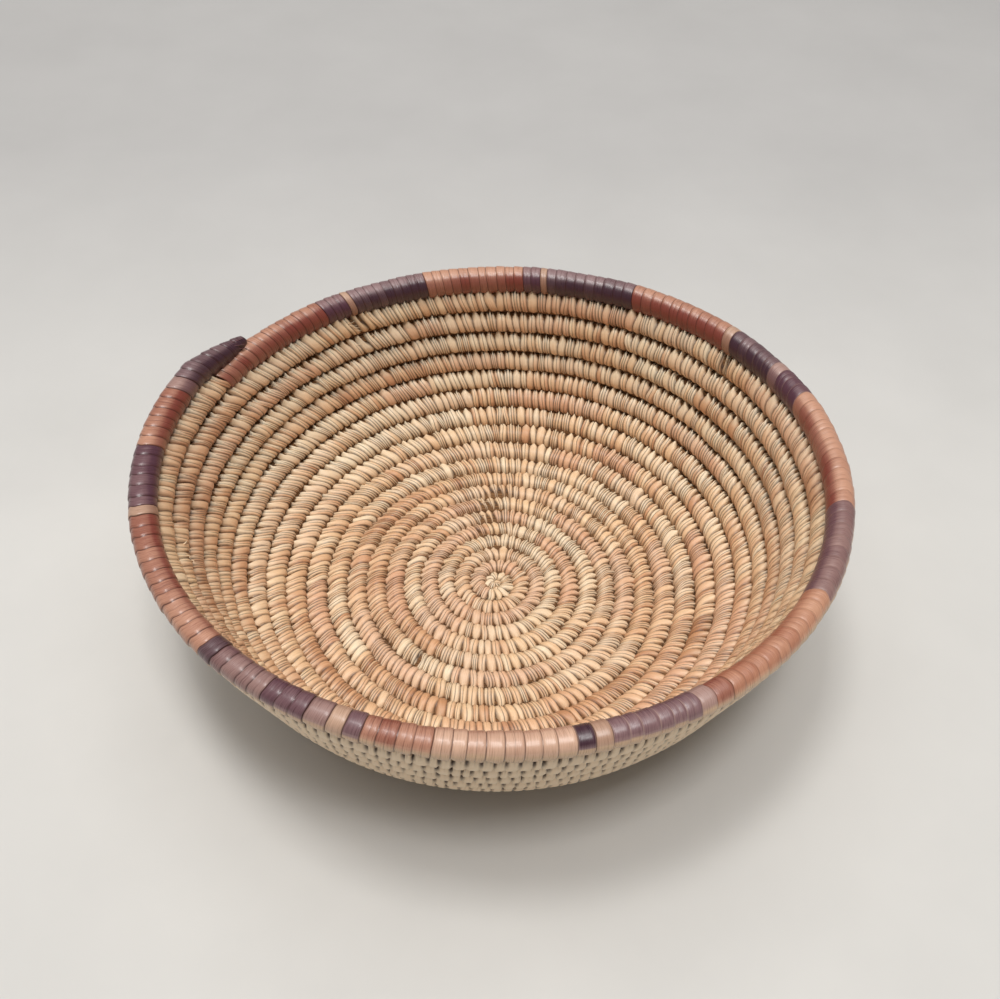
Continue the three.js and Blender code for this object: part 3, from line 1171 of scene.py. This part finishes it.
    def _lines(self, grid: StitchGrid, gap: Array) -> Array:
        """Works out the darkness of the lines between stitches, and the painted shade between two turns.

        The lines are partly the leaf's dark joints and partly painted shade in the gaps, in the slots outside
        and in the broken stitches. Inside the bowl they are paler at the front, low on each turn, where less
        shade is painted. The valley is painted shade at the coil's lower edge, and both edges darken by the
        square of the distance from a stitch's middle, painted shade on the sides of the stitches' ends.

        Args:
            grid: the points.
            gap: how broken each point is.

        Returns:
            The darkness of each point, from 0 to 1.
        """
        look, section, wall, slot = self.look, grid.section, grid.wall, grid.slot
        # Less painted shade at the front, low on each turn.
        low_front = (1 - grid.back) * smooth_step(section.degrees, 60.0, 120.0)
        inward = section.inward * (1 - look.front_loss * low_front) * blend(look.inside_line, wall)
        # Dark lines between stitches and strands, partly joints and partly painted shade; slots and broken
        # stitches are painted dark as shade.
        seam = grid.notch * look.notch_line.at(section, inward, slot)
        seam = seam + grid.crease * look.crease_line.at(section, inward, slot)
        seam = seam + grid.flank * look.flank_line.at(section, inward, slot) + look.gap_line * gap
        # Painted shade: the lower side of each turn, where it faces the turn below.
        valley = smooth_step(section.degrees, 104.0, 152.0) * (section.sine > -0.3)
        seam = seam + blend(look.valley_shade, wall) * valley
        # Painted shade on the sides of the stitches' ends at both edges.
        edges = (grid.upper + grid.lower) * grid.from_middle ** 2
        return np.clip(seam + blend(look.edge_shade, wall) * edges, 0, 1)

    def _paleness(self, grid: StitchGrid) -> Array:
        """Works out the fade value: up to a half for the painted highlight on the tips of stitches, and 1 on
        the outer side.
        """
        outer_side = smooth_step(grid.section.sine, 0.05, -0.35)
        # Painted highlight where light from above falls on the upper tips.
        tip = smooth_step(grid.section.degrees, 80.0, 28.0) * (1 - grid.from_middle ** 2)
        return np.maximum(outer_side, 0.5 * tip * blend(self.look.tip_highlight, grid.wall))

    def _tones(self, sewn: Stitches, rng: Random) -> tuple[Array, Array]:
        """Draws the tone and the pinkish cast of each strand: one leaf strip covers a run of stitches.

        A few strands are much darker than their leaf. The tone also drifts slowly along the coil, is
        darker at the front of the outer turns and a little paler at their back, which is painted light on the
        back wall.

        Args:
            sewn: the columns.
            rng: the source of the random draws.

        Returns:
            The tone and the cast of each column, both from 0 to 1.
        """
        stitches = int(sewn.stitch.max()) + 1
        lengths = rng.integers(*self.run_stitches, stitches)
        run = np.searchsorted(np.cumsum(lengths), np.arange(stitches), side="right")[sewn.stitch]
        leaf_tone = rng.choice([0.02, 0.14, 0.28, 0.46], size=stitches, p=[0.26, 0.34, 0.27, 0.13])
        leaf_cast = rng.choice([0.05, 0.25, 0.6], size=stitches, p=[0.45, 0.33, 0.22])
        strands = int(sewn.strand.max()) + 1
        own_tone = rng.normal(0, 0.12, strands)
        own_tone += np.where(rng.random(strands) < 0.05, 0.3, 0.0)
        own_cast = rng.normal(0, 0.06, strands)
        drift = Wander(0.08, (0.16, 0.29, 0.47), rng).at(sewn.distance)
        turn = self.line.turn_at(sewn.distance)
        front = smooth_step(-np.cos(self.line.azimuth_at(turn)), -0.6, 0.2)
        # Painted light: paler at the back of the outer turns, to brighten the back wall.
        paler = 0.07 * smooth_step(turn, 6.0, 12.0) * (1 - front)
        darker = 0.22 * smooth_step(turn, 3.0, 11.0) * front
        tone = leaf_tone[run] + own_tone[sewn.strand] + drift + 0.02 - paler + darker
        cast = leaf_cast[run] + own_cast[sewn.strand] + 0.06
        return np.clip(tone, 0, 1)[:-1], np.clip(cast, 0, 1)[:-1]


def dress(piece: bpy.types.Object, material: bpy.types.Material, slot: str, *nodes: str) -> None:
    """Gives a piece its material and body, hides the nodes that it stands for, and logs its slot and nodes.

    Args:
        piece: the new object.
        material: its material.
        slot: the record's material slot.
        nodes: names of the nodes that it replaces.
    """
    piece.data.materials.append(material)
    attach(piece, "root")
    if nodes:
        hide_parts(*nodes)
    log.info("%s: %d faces, slot %s, stands for %s", piece.name, len(piece.data.polygons), slot, nodes)


@dataclass(frozen=True)
class Band:
    """One run of a dye on the rim: its angle, how worn it is on top, and its paleness at both ends."""

    dye: Dye
    angle: float
    wear: float
    start: float = 0.4
    end: float = 0.3


def rim_bands() -> list[Band]:
    """Lists the rim's runs of dye from its start, clockwise."""
    brick, brown, blush, tan = Dye.BRICK, Dye.BROWN, Dye.BLUSH, Dye.TAN
    mauve, purple, plum = Dye.MAUVE, Dye.PURPLE, Dye.PLUM
    return [
        Band(brick, 27, 0.7, 0.75, 0.2),
        Band(purple, 5.5, 0.8),
        Band(tan, 1.5, 0.9),
        Band(plum, 17, 0.95, 0.5, 0.2),
        Band(brick, 22.5, 1.0, 0.95, 0.2),
        Band(purple, 4, 0.9),
        Band(tan, 1.5, 0.8),
        Band(plum, 20, 0.85, 0.5, 0.0),
        Band(brick, 22.5, 0.8, 0.25, 0.2),
        Band(tan, 2, 0.9),
        Band(plum, 11, 0.6, 0.2, 0.2),
        Band(mauve, 2.5, 1.0, 0.6, 0.6),
        Band(purple, 6.5, 0.4, 0.1, 0.1),
        Band(brick, 26, 0.95, 0.75, 0.15),
        Band(mauve, 19.5, 0.6, 0.1, 0.25),
        Band(brown, 23, 0.5, 0.7, 0.1),
        Band(brick, 3, 0.4),
        Band(mauve, 2.5, 1.0, 0.9, 0.9),
        Band(purple, 13.5, 0.5, 0.5, 0.3),
        Band(tan, 2.5, 0.6),
        Band(plum, 2.5, 0.2, 0.1, 0.1),
        Band(blush, 20, 0.8, 0.8, 0.3),
        Band(brick, 10, 0.45, 0.6, 0.3),
        Band(purple, 2.5, 0.3),
        Band(tan, 2.5, 0.7, 0.9, 0.9),
        Band(mauve, 3.5, 0.6),
        Band(purple, 7, 0.4),
        Band(mauve, 9.5, 0.5),
        Band(plum, 2.5, 0.3),
        Band(brick, 28, 0.6, 0.8, 0.1),
        Band(tan, 2, 0.8),
        Band(purple, 13, 0.45, 0.3, 0.0),
        Band(brick, 13.5, 0.6, 0.7, 0.1),
        Band(mauve, 3, 0.7),
        Band(plum, 16, 0.6, 0.5, 0.1),
    ]


@dataclass(frozen=True)
class RimLook:
    """Numbers of the rim's strips. A pair holds the value low inside and the one low outside.

    Depths are in millimetres, angles in degrees and lines shares of the darkest line.
    """

    slant_more: float = 0.30
    outer_power: float = 2.3
    reach_up: float = 0.3
    reach_down: float = 1.3
    skirt: float = 2.6
    whole_half: float = 6.6
    fuller_share: float = 0.6
    fuller_drop: float = 0.8
    notch_depth: float = 0.18
    notch_low: Pair = (1.1, 1.5)
    end_depth: float = 0.05
    end_low: Pair = (0.8, 0.9)
    saw_tooth: float = 1.7
    fold_odds: float = 0.35
    fold_depth: float = 0.06
    stand_spread: float = 0.09
    fold_line: float = 0.55
    notch_line_low: Pair = (0.8, 0.8)
    flank_line_low: Pair = (0.48, 0.8)
    border: float = 282.0
    border_more: float = 32.0
    border_spread: float = 5.0
    worn_fade: float = 0.6
    right_loss: float = 0.68
    line_range: Pair = (0.85, 1.2)
    tone_spread: float = 0.14
    thread_paleness: float = 0.8


@dataclass
class DyedRim:
    """The rim's binding, one piece for each run of dye, each strip lapping over the one before.

    SHARES are the columns' places in a strip, and LAP is how high the strip stands at each of them, in
    millimetres. The first strip starts START_LAP before the rim.
    """

    line: CoilLine
    look: RimLook = RimLook()
    seed: int = 23
    inside_steps: int = 14
    outside_steps: int = 14
    round_length: float = 46 * MILLIMETRE
    width_turns: tuple[float, ...] = (18.0, 18.2, 18.45, 19.2)
    widths: tuple[float, ...] = (4.6, 5.2, 6.6, 6.8)
    jitter: float = 0.12

    SHARES = (0.0, 0.07, 0.25, 0.45, 0.5, 0.55, 0.75, 0.93)
    LAP = (0.0, 0.26, 0.22, 0.14, 0.12, 0.10, 0.04, -0.04)
    START_LAP = 0.8 * MILLIMETRE

    def build(self) -> None:
        """Builds the binding of each run of dye, from the end of the one before."""
        rng = np.random.default_rng(self.seed)
        sizes = self.line.sizes
        bands = rim_bands()
        angles = np.cumsum([0, *(band.angle for band in bands)])
        turns = sizes.coil_turns + angles / angles[-1] * (sizes.end_turn - sizes.coil_turns)
        ends = self.line.distance_at(turns)
        ends[0] -= self.START_LAP
        widths = np.array(self.widths) * MILLIMETRE
        materials = {dye: DyedFinish(dye).material() for dye in Dye}
        sideways = Wander(0.25 * MILLIMETRE, (0.06, 0.11, 0.19), rng)
        for number, band in enumerate(bands):
            first, last = ends[number:number + 2]
            edges = even_edges(self.line, first, last, widths, np.array(self.width_turns), self.jitter, rng)
            label = f"{number + 1:02d}_{band.dye.label}"
            piece = self._skin(edges, band, sideways, rng).build(f"rim_binding_{label}")
            dress(piece, materials[band.dye], DyedFinish(band.dye).slot, f"rim_wrap_{label}")

    def _skin(self, edges: Array, band: Band, sideways: Wander, rng: Random) -> TubeSkin:
        """Works out the surface of one run of binding.

        The outline is the coil's, fuller along the tapered tip, with a skirt that runs down outside over
        the turn below. Each strip's rear edge stands over the one before, and its height falls evenly
        to its front edge. A notch divides the strips, deeper low inside and low outside, where they
        pass between the stitches of the turn below, and low outside each strip also falls like a
        saw-tooth towards the next. Some strips have a fold along their middle.

        Args:
            edges: distances of the boundaries between strips.
            band: the run of dye.
            sideways: the unevenness of the rim's line.
            rng: the source of the random draws.

        Returns:
            The surface with its values.
        """
        line, look, sizes = self.line, self.look, self.line.sizes
        section = Section(round_angles(self.inside_steps, self.outside_steps))
        strips = len(edges) - 1
        distance = edges[:-1, None] + np.diff(edges)[:, None] * np.array(self.SHARES)
        distance = np.append(distance.ravel(), edges[-1])
        share = np.append(np.tile(self.SHARES, strips), 0.0)[:, None]
        lap = np.append(np.tile(self.LAP, strips), 0.0)[:, None]
        strip = np.append(np.repeat(np.arange(strips), len(self.SHARES)), strips - 1)
        notch = (share == 0).astype(float)
        flank = np.isin(share, (self.SHARES[1], self.SHARES[-1])).astype(float)
        fold = (share == 0.5) * (rng.random(strips) < look.fold_odds)[strip][:, None]
        stand = rng.normal(0, look.stand_spread, strips)[strip][:, None]
        wave = rng.normal(0, look.border_spread, strips)[strip][:, None]
        strength = rng.uniform(*look.line_range, strips)[strip][:, None]
        tone = np.linspace(band.start, band.end, strips) + rng.normal(0, look.tone_spread, strips)

        plain = line.turn_at(distance)[:, None]
        azimuth = line.azimuth_at(plain)
        slant = section.slant(line.thickness_at(plain) / 2, azimuth, look.slant_more)
        turn = line.turn_at(distance[:, None] + slant)
        tip = np.clip((turn - sizes.end_turn) * 360 / sizes.rim_tip_angle + 1, 0, 1)
        taper = (sizes.rim_thickness - sizes.rim_tip_thickness) / 2
        fuller = look.fuller_share * taper * (tip - tip ** 3)
        half = line.thickness_at(turn) / 2 + fuller
        reach_up, reach_down = look.reach_up * MILLIMETRE, look.reach_down * MILLIMETRE
        across, out = section.outline(half, reach_up, reach_down, look.outer_power)
        low = (bump(section.around, 172.0, 22.0), bump(section.around, 246.0, 26.0))

        def low_down(strengths: Pair) -> Array:
            """Sums the strengths low inside and low outside."""
            return strengths[0] * low[0] + strengths[1] * low[1]

        ends = np.where(notch > 0, 1, (2 * share - 1) ** 2)
        depth = notch * (look.notch_depth + low_down(look.notch_low))
        depth = depth + ends * (look.end_depth + low_down(look.end_low))
        depth = depth + look.fold_depth * fold + look.saw_tooth * share * low[1] - lap - stand
        shrink = 1 - depth * MILLIMETRE / half
        skirt = look.skirt * bump(section.around, 216.0, 15.0) * half / look.whole_half
        drop = skirt + look.fuller_drop * fuller
        across = across * shrink - drop + sideways.at(distance)[:, None]

        right = bump(np.degrees(azimuth) % 360, 112.0, 48.0)
        strength = strength * (1 - look.right_loss * right)
        strength[0] = look.line_range[1]
        seam = strength * (notch + look.fold_line * fold)
        seam = seam + flank * low_down(look.flank_line_low) + notch * low_down(look.notch_line_low)
        return TubeSkin(
            rings=line.place(turn, across, out * shrink),
            along=distance,
            round_length=self.round_length,
            seam=np.clip(seam, 0, 1),
            fade=self._fade(section, azimuth, wave, band),
            tone=np.clip(tone, 0, 1)[strip][:-1],
            blush=self._threads(band, azimuth[:-1, 0]),
        )

    def _fade(self, section: Section, azimuth: Array, wave: Array, band: Band) -> Array:
        """Works out where the dye is worn, on top of the rim, and where the leaf is bare, low outside.

        The bare leaf ends at a border, an angle round the section that rises at the front and right.

        Args:
            section: the cross-section.
            azimuth: place of each column round the bowl, in radians.
            wave: the border's move at each column, in degrees.
            band: the run of dye.

        Returns:
            The fade value of each point: up to worn_fade for worn dye, and 1 for bare leaf.
        """
        look = self.look
        facing = smooth_step(np.cos(azimuth - math.radians(140)), -0.1, 0.6)
        border = look.border + look.border_more * facing + wave
        bare = smooth_step(border - section.around, -14.0, 14.0) * smooth_step(section.around, 168.0, 190.0)
        pale = smooth_step(section.degrees, 66.0, 30.0)
        return look.worn_fade * band.wear * pale * (1 - bare) + bare

    def _threads(self, band: Band, azimuth: Array) -> Array:
        """Tells how pale the lines between strips are: pale on the purple runs of the front and right."""
        purple = band.dye in (Dye.MAUVE, Dye.PURPLE, Dye.PLUM)
        front_right = smooth_step(np.cos(azimuth - math.radians(130)), 0.2, 0.7)
        return front_right * self.look.thread_paleness * purple


@dataclass
class GrassBundle:
    """The grass inside the wrapping, as one flattened tube for the coil and one for the rim.

    The tube is wide enough to meet the next turn's, so that grass shows in the gaps between stitches.
    """

    line: CoilLine
    finish: GrassFinish = GrassFinish()
    coil_more: float = 0.75 * MILLIMETRE
    rim_less: float = 1.6 * MILLIMETRE
    height_share: float = 0.58
    round_length: float = 30 * MILLIMETRE
    steps: int = 60
    sides: int = 10

    def build(self) -> None:
        """Builds the natural coil's bundle and the rim's."""
        sizes = self.line.sizes
        material = self.finish.material()
        coil = self._tube(0.0, sizes.coil_turns - 0.001, self.coil_more).build("coil_grass")
        rim = self._tube(sizes.coil_turns + 0.001, sizes.end_turn - 0.004, -self.rim_less).build("rim_grass")
        dress(coil, material, self.finish.slot, "coil_bundle")
        dress(rim, material, self.finish.slot, "rim_bundle")

    def _tube(self, start: float, end: float, more: float) -> TubeSkin:
        """Carries an ellipse along the coil, whose height is height_share of the coil's.

        Args:
            start: turn of the first ring.
            end: turn of the last ring.
            more: how much wider than the coil it is on each side.

        Returns:
            The surface.
        """
        turn = np.linspace(start, end, int((end - start) * self.steps))[:, None]
        angles = np.linspace(0, 2 * math.pi, self.sides, endpoint=False)[None]
        half = self.line.thickness_at(turn) / 2
        out = half * self.height_share * np.sin(angles)
        rings = self.line.place(turn, (half + more) * np.cos(angles), out)
        return TubeSkin.plain(rings, self.line.distance_at(turn[:, 0]), self.round_length)


@dataclass
class StartButton:
    """The start of the coil seen from below: a low button of strips that close the middle.

    PROFILE holds pairs of the radius over the reach and the level over the height, from the middle of
    the flat underside, round the edge and over the top.
    """

    line: CoilLine
    finish: NaturalFinish = NaturalFinish()
    reach: float = 7.4 * MILLIMETRE
    height: float = 4.6 * MILLIMETRE
    groove_share: float = 0.12
    groove_rise: float = 0.7 * MILLIMETRE
    twist: float = 0.5
    round_length: float = 34 * MILLIMETRE
    strips: int = 13
    steps: int = 6

    PROFILE = ((0.04, 0.0), (0.35, 0.0), (0.7, 0.0), (0.92, 0.09), (1.0, 0.35), (0.9, 0.7), (0.5, 0.97),
               (0.04, 1.0))

    def build(self) -> None:
        """Builds the button by turning its profile, grooved between its strips.

        In a groove the radius is less and the underside is higher, by the fourth power of the distance
        from a strip's middle. The angles run against the coil's, so that the faces point outwards.
        """
        count = self.strips * self.steps
        angle = -np.arange(count) * 2 * math.pi / count
        from_middle = np.abs(2 * ((np.arange(count) % self.steps) / self.steps) - 1)[None]
        share, level = np.array(self.PROFILE).T[:, :, None]
        groove = from_middle ** 4
        radius = self.reach * share * (1 - self.groove_share * share * groove)
        height = self.height * level + self.groove_rise * (level < 0.1) * share * groove
        turned = angle[None] + self.twist * share
        rings = np.stack([radius * np.sin(turned), radius * np.cos(turned), height], -1)
        skin = TubeSkin.plain(rings, np.arange(len(rings)) * MILLIMETRE, self.round_length, 0.2, 0.1)
        # Dark grooves between the strips, partly painted shade.
        skin.seam = from_middle ** 6 * np.minimum(share * 1.5, 1)
        skin.fade = np.broadcast_to(np.where(level < 0.4, 1.0, 0.0), skin.seam.shape)
        dress(skin.build("start_button"), self.finish.material(), self.finish.slot)


@dataclass(frozen=True)
class Fibre:
    """A loose fibre: where it leaves the coil, how far it runs each way, its bow and its width.

    The turn and the angle are the coil's, and the lengths are in millimetres.
    """

    turn: float
    angle: float
    along: float
    across: float
    rise: float
    width: float


@dataclass
class LooseFibres:
    """Torn leaf fibres that stand out of the binding, as thin tapered tubes."""

    line: CoilLine
    name: str
    fibres: tuple[Fibre, ...]
    finish: Finish
    tone: float
    blush: float = 0.1
    foot_share: float = 0.94
    bow_share: float = 0.75
    taper: float = 0.9
    flatness: float = 0.45
    round_length: float = 2 * MILLIMETRE
    steps: int = 9
    sides: int = 5

    def build(self) -> None:
        """Builds each fibre as a piece of its own."""
        material = self.finish.material()
        for number, fibre in enumerate(self.fibres):
            piece = self._skin(fibre).build(f"{self.name}_{number + 1:02d}")
            dress(piece, material, self.finish.slot)

    def _skin(self, fibre: Fibre) -> TubeSkin:
        """Carries a thin ring along a bowed path that starts a little under the coil's surface.

        Along the path the distance and the place across grow evenly, and the height follows bow_share
        of half a sine wave. The ring stands square to the path, and its width falls to a tenth at the
        free end.

        Args:
            fibre: the fibre.

        Returns:
            The surface.
        """
        share = np.linspace(0, 1, self.steps)
        foot = self.line.thickness_at(fibre.turn) / 2 * self.foot_share
        angle = math.radians(fibre.angle)
        distance = self.line.distance_at(fibre.turn) + fibre.along * MILLIMETRE * share
        across = foot * math.cos(angle) + fibre.across * MILLIMETRE * share
        bow = np.sin(math.pi * self.bow_share * share)
        out = foot * math.sin(angle) + fibre.rise * MILLIMETRE * bow
        path = self.line.place(self.line.turn_at(distance), across, out)
        ahead = np.gradient(path, axis=0)
        ahead /= np.linalg.norm(ahead, axis=1, keepdims=True)
        side = np.cross(ahead, [0.3, 0.5, 0.8])
        side /= np.linalg.norm(side, axis=1, keepdims=True)
        other = np.cross(ahead, side)
        ring = np.linspace(0, 2 * math.pi, self.sides, endpoint=False)[None, :, None]
        radius = (fibre.width * MILLIMETRE / 2 * (1 - self.taper * share))[:, None, None]
        around = side[:, None] * np.cos(ring) + self.flatness * other[:, None] * np.sin(ring)
        return TubeSkin.plain(path[:, None] + radius * around, distance, self.round_length, self.tone,
                              self.blush)


def natural_fibres() -> tuple[Fibre, ...]:
    """Lists the loose natural fibres at the broken stitches."""
    return (
        Fibre(17.150, 62.0, 4.5, -1.0, 1.4, 0.8),
        Fibre(17.152, 78.0, 4.0, -0.8, 1.2, 0.7),
        Fibre(17.149, 48.0, 4.8, 0.6, 1.5, 0.8),
        Fibre(17.153, 100.0, 3.5, -0.6, 1.0, 0.7),
        Fibre(16.163, 40.0, 3.0, 1.8, 1.3, 0.8),
        Fibre(16.152, 60.0, 3.4, 1.0, 1.2, 0.7),
        Fibre(16.948, 95.0, -3.2, 0.6, 1.4, 1.0),
        Fibre(16.949, 70.0, -3.0, 1.2, 1.6, 1.1),
        Fibre(16.956, 60.0, 2.6, -1.0, 1.3, 0.9),
        Fibre(5.226, 70.0, -4.2, 1.6, 1.3, 0.9),
        Fibre(5.230, 90.0, 3.4, -1.2, 1.1, 0.7),
        Fibre(4.225, 90.0, -3.0, 1.4, 1.1, 0.7),
        Fibre(17.406, 40.0, 2.6, 1.6, 1.2, 0.7),
    )


def tip_fibres() -> tuple[Fibre, ...]:
    """Lists the torn fibres at the rim's tip, which lie over the rim's own start."""
    return (
        Fibre(19.0770, 60.0, 8.0, -3.0, 1.0, 1.5),
        Fibre(19.0775, 20.0, 9.0, -1.5, 1.2, 1.6),
        Fibre(19.0780, 100.0, 7.0, -3.5, 0.8, 1.2),
        Fibre(19.0765, 350.0, 8.5, -0.5, 0.9, 1.3),
        Fibre(19.0790, 45.0, 6.0, -4.5, 1.4, 1.0),
    )


@dataclass(frozen=True)
class ViewPoint:
    """The photograph's camera: what it looks at, from how far and how steeply."""

    image_width: int = 1000
    focal_pixels: float = 1080.0
    elevation: float = 48.785
    roll: float = 0.406
    distance: float = 0.64264
    target: Pair = (0.0022, 0.06509)

    def place(self) -> bpy.types.Object:
        """Makes the camera: it looks along +Y and down, and the lens follows from the focal length.

        Returns:
            The camera, which is the scene's own.
        """
        steep = math.radians(self.elevation)
        turned = math.radians(self.roll)
        back = Vector((0, -math.cos(steep), math.sin(steep)))
        level = Vector((1, 0, 0))
        upright = back.cross(level)
        right = level * math.cos(turned) + upright * math.sin(turned)
        up = upright * math.cos(turned) - level * math.sin(turned)
        eye = Vector((*self.target, 0)) + back * self.distance
        data = bpy.data.cameras.new("photo_camera")
        data.sensor_fit = "HORIZONTAL"
        data.sensor_width = 36.0
        data.lens = self.focal_pixels / self.image_width * data.sensor_width
        data.clip_end = 20
        camera = bpy.data.objects.new("photo_camera", data)
        camera.matrix_world = Matrix.Translation(eye) @ Matrix((right, up, back)).transposed().to_4x4()
        bpy.context.scene.collection.objects.link(camera)
        bpy.context.scene.camera = camera
        return camera


@dataclass(frozen=True)
class Lamp:
    """A square area lamp that faces the basket: its place, the length of its side and its watts."""

    name: str
    place: Triple
    size: float
    power: float
    shade: Triple = (1.0, 0.99, 0.975)

    def build(self) -> None:
        """Adds the lamp to the scene, turned towards the origin."""
        data = bpy.data.lights.new(self.name, "AREA")
        data.shape = "SQUARE"
        data.size = self.size
        data.energy = self.power
        data.color = self.shade
        lamp = bpy.data.objects.new(self.name, data)
        lamp.location = self.place
        lamp.rotation_euler = Vector(self.place).to_track_quat("Z", "Y").to_euler()
        bpy.context.scene.collection.objects.link(lamp)


@dataclass(frozen=True)
class Studio:
    """A pale floor under soft lamps in an evenly lit room."""

    floor_size: float = 8.0
    floor_drop: float = 0.2 * MILLIMETRE
    floor_colour: Colour = colour(214, 212, 208)
    far_colour: Colour = colour(192, 190, 188)
    far_range: Pair = (0.05, 0.45)
    mottle: Colour = colour(248, 248, 248)
    mottle_scale: float = 9.0
    roughness: float = 0.85
    lamps: tuple[Lamp, ...] = (
        Lamp("overhead_panel", (-0.2, 0.3, 2.8), 3.0, 44.0),
        Lamp("front_lamp", (0.25, -0.6, 2.5), 0.5, 20.0),
        Lamp("left_lamp", (-0.3, 0.1, 2.6), 0.5, 19.0),
    )
    room_colour: Colour = (1.0, 0.995, 0.985, 1.0)
    room_light: float = 0.17

    def build(self) -> None:
        """Builds the floor, the lamps and the even light of the room."""
        scene = bpy.context.scene
        scene.view_settings.view_transform = "Standard"
        self._floor()
        for lamp in self.lamps:
            lamp.build()
        world = bpy.data.worlds.new("room_light")
        world.use_nodes = True
        background = world.node_tree.nodes["Background"]
        background.inputs["Color"].default_value = self.room_colour
        background.inputs["Strength"].default_value = self.room_light
        scene.world = world

    def _floor(self) -> None:
        """Lays a wide plane just under the basket, a little darker far away and faintly mottled."""
        half, level = self.floor_size / 2, -self.floor_drop
        corners = [(-half, -half, level), (half, -half, level), (half, half, level), (-half, half, level)]
        mesh = bpy.data.meshes.new("floor")
        mesh.from_pydata(corners, [], [(0, 1, 2, 3)])
        floor = bpy.data.objects.new("floor", mesh)
        bpy.context.scene.collection.objects.link(floor)
        board = NodeBoard("pale_floor")
        place = board.object_place()
        far = board.spread(board.add("SeparateXYZ", {"Vector": place}, "Y"), *self.far_range, 0.0, 1.0)
        base = board.mix(far, self.floor_colour, self.far_colour)
        mottle = board.ramp(board.noise(place, self.mottle_scale, 4.0), (0.3, self.mottle), (0.7, WHITE))
        board.put(board.mix(1.0, base, mottle, "MULTIPLY"), board.shader.inputs["Base Color"])
        board.put(self.roughness, board.shader.inputs["Roughness"])
        floor.data.materials.append(board.material)


def main() -> None:
    """Builds the basket, its floor, its lights and the camera, and reports each piece."""
    logging.basicConfig(level=logging.INFO, format="%(message)s")
    ViewPoint().place()
    Studio().build()
    line = CoilLine(BowlSizes())
    NaturalCoil(line).build()
    DyedRim(line).build()
    GrassBundle(line).build()
    StartButton(line).build()
    LooseFibres(line, "loose_fibre", natural_fibres(), NaturalFinish(), 0.1).build()
    LooseFibres(line, "tip_fibre", tip_fibres(), DyedFinish(Dye.MAUVE), 0.35).build()
    log.info("%d nodes in the frame", len(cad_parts))


if __name__ == "__main__":
    main()
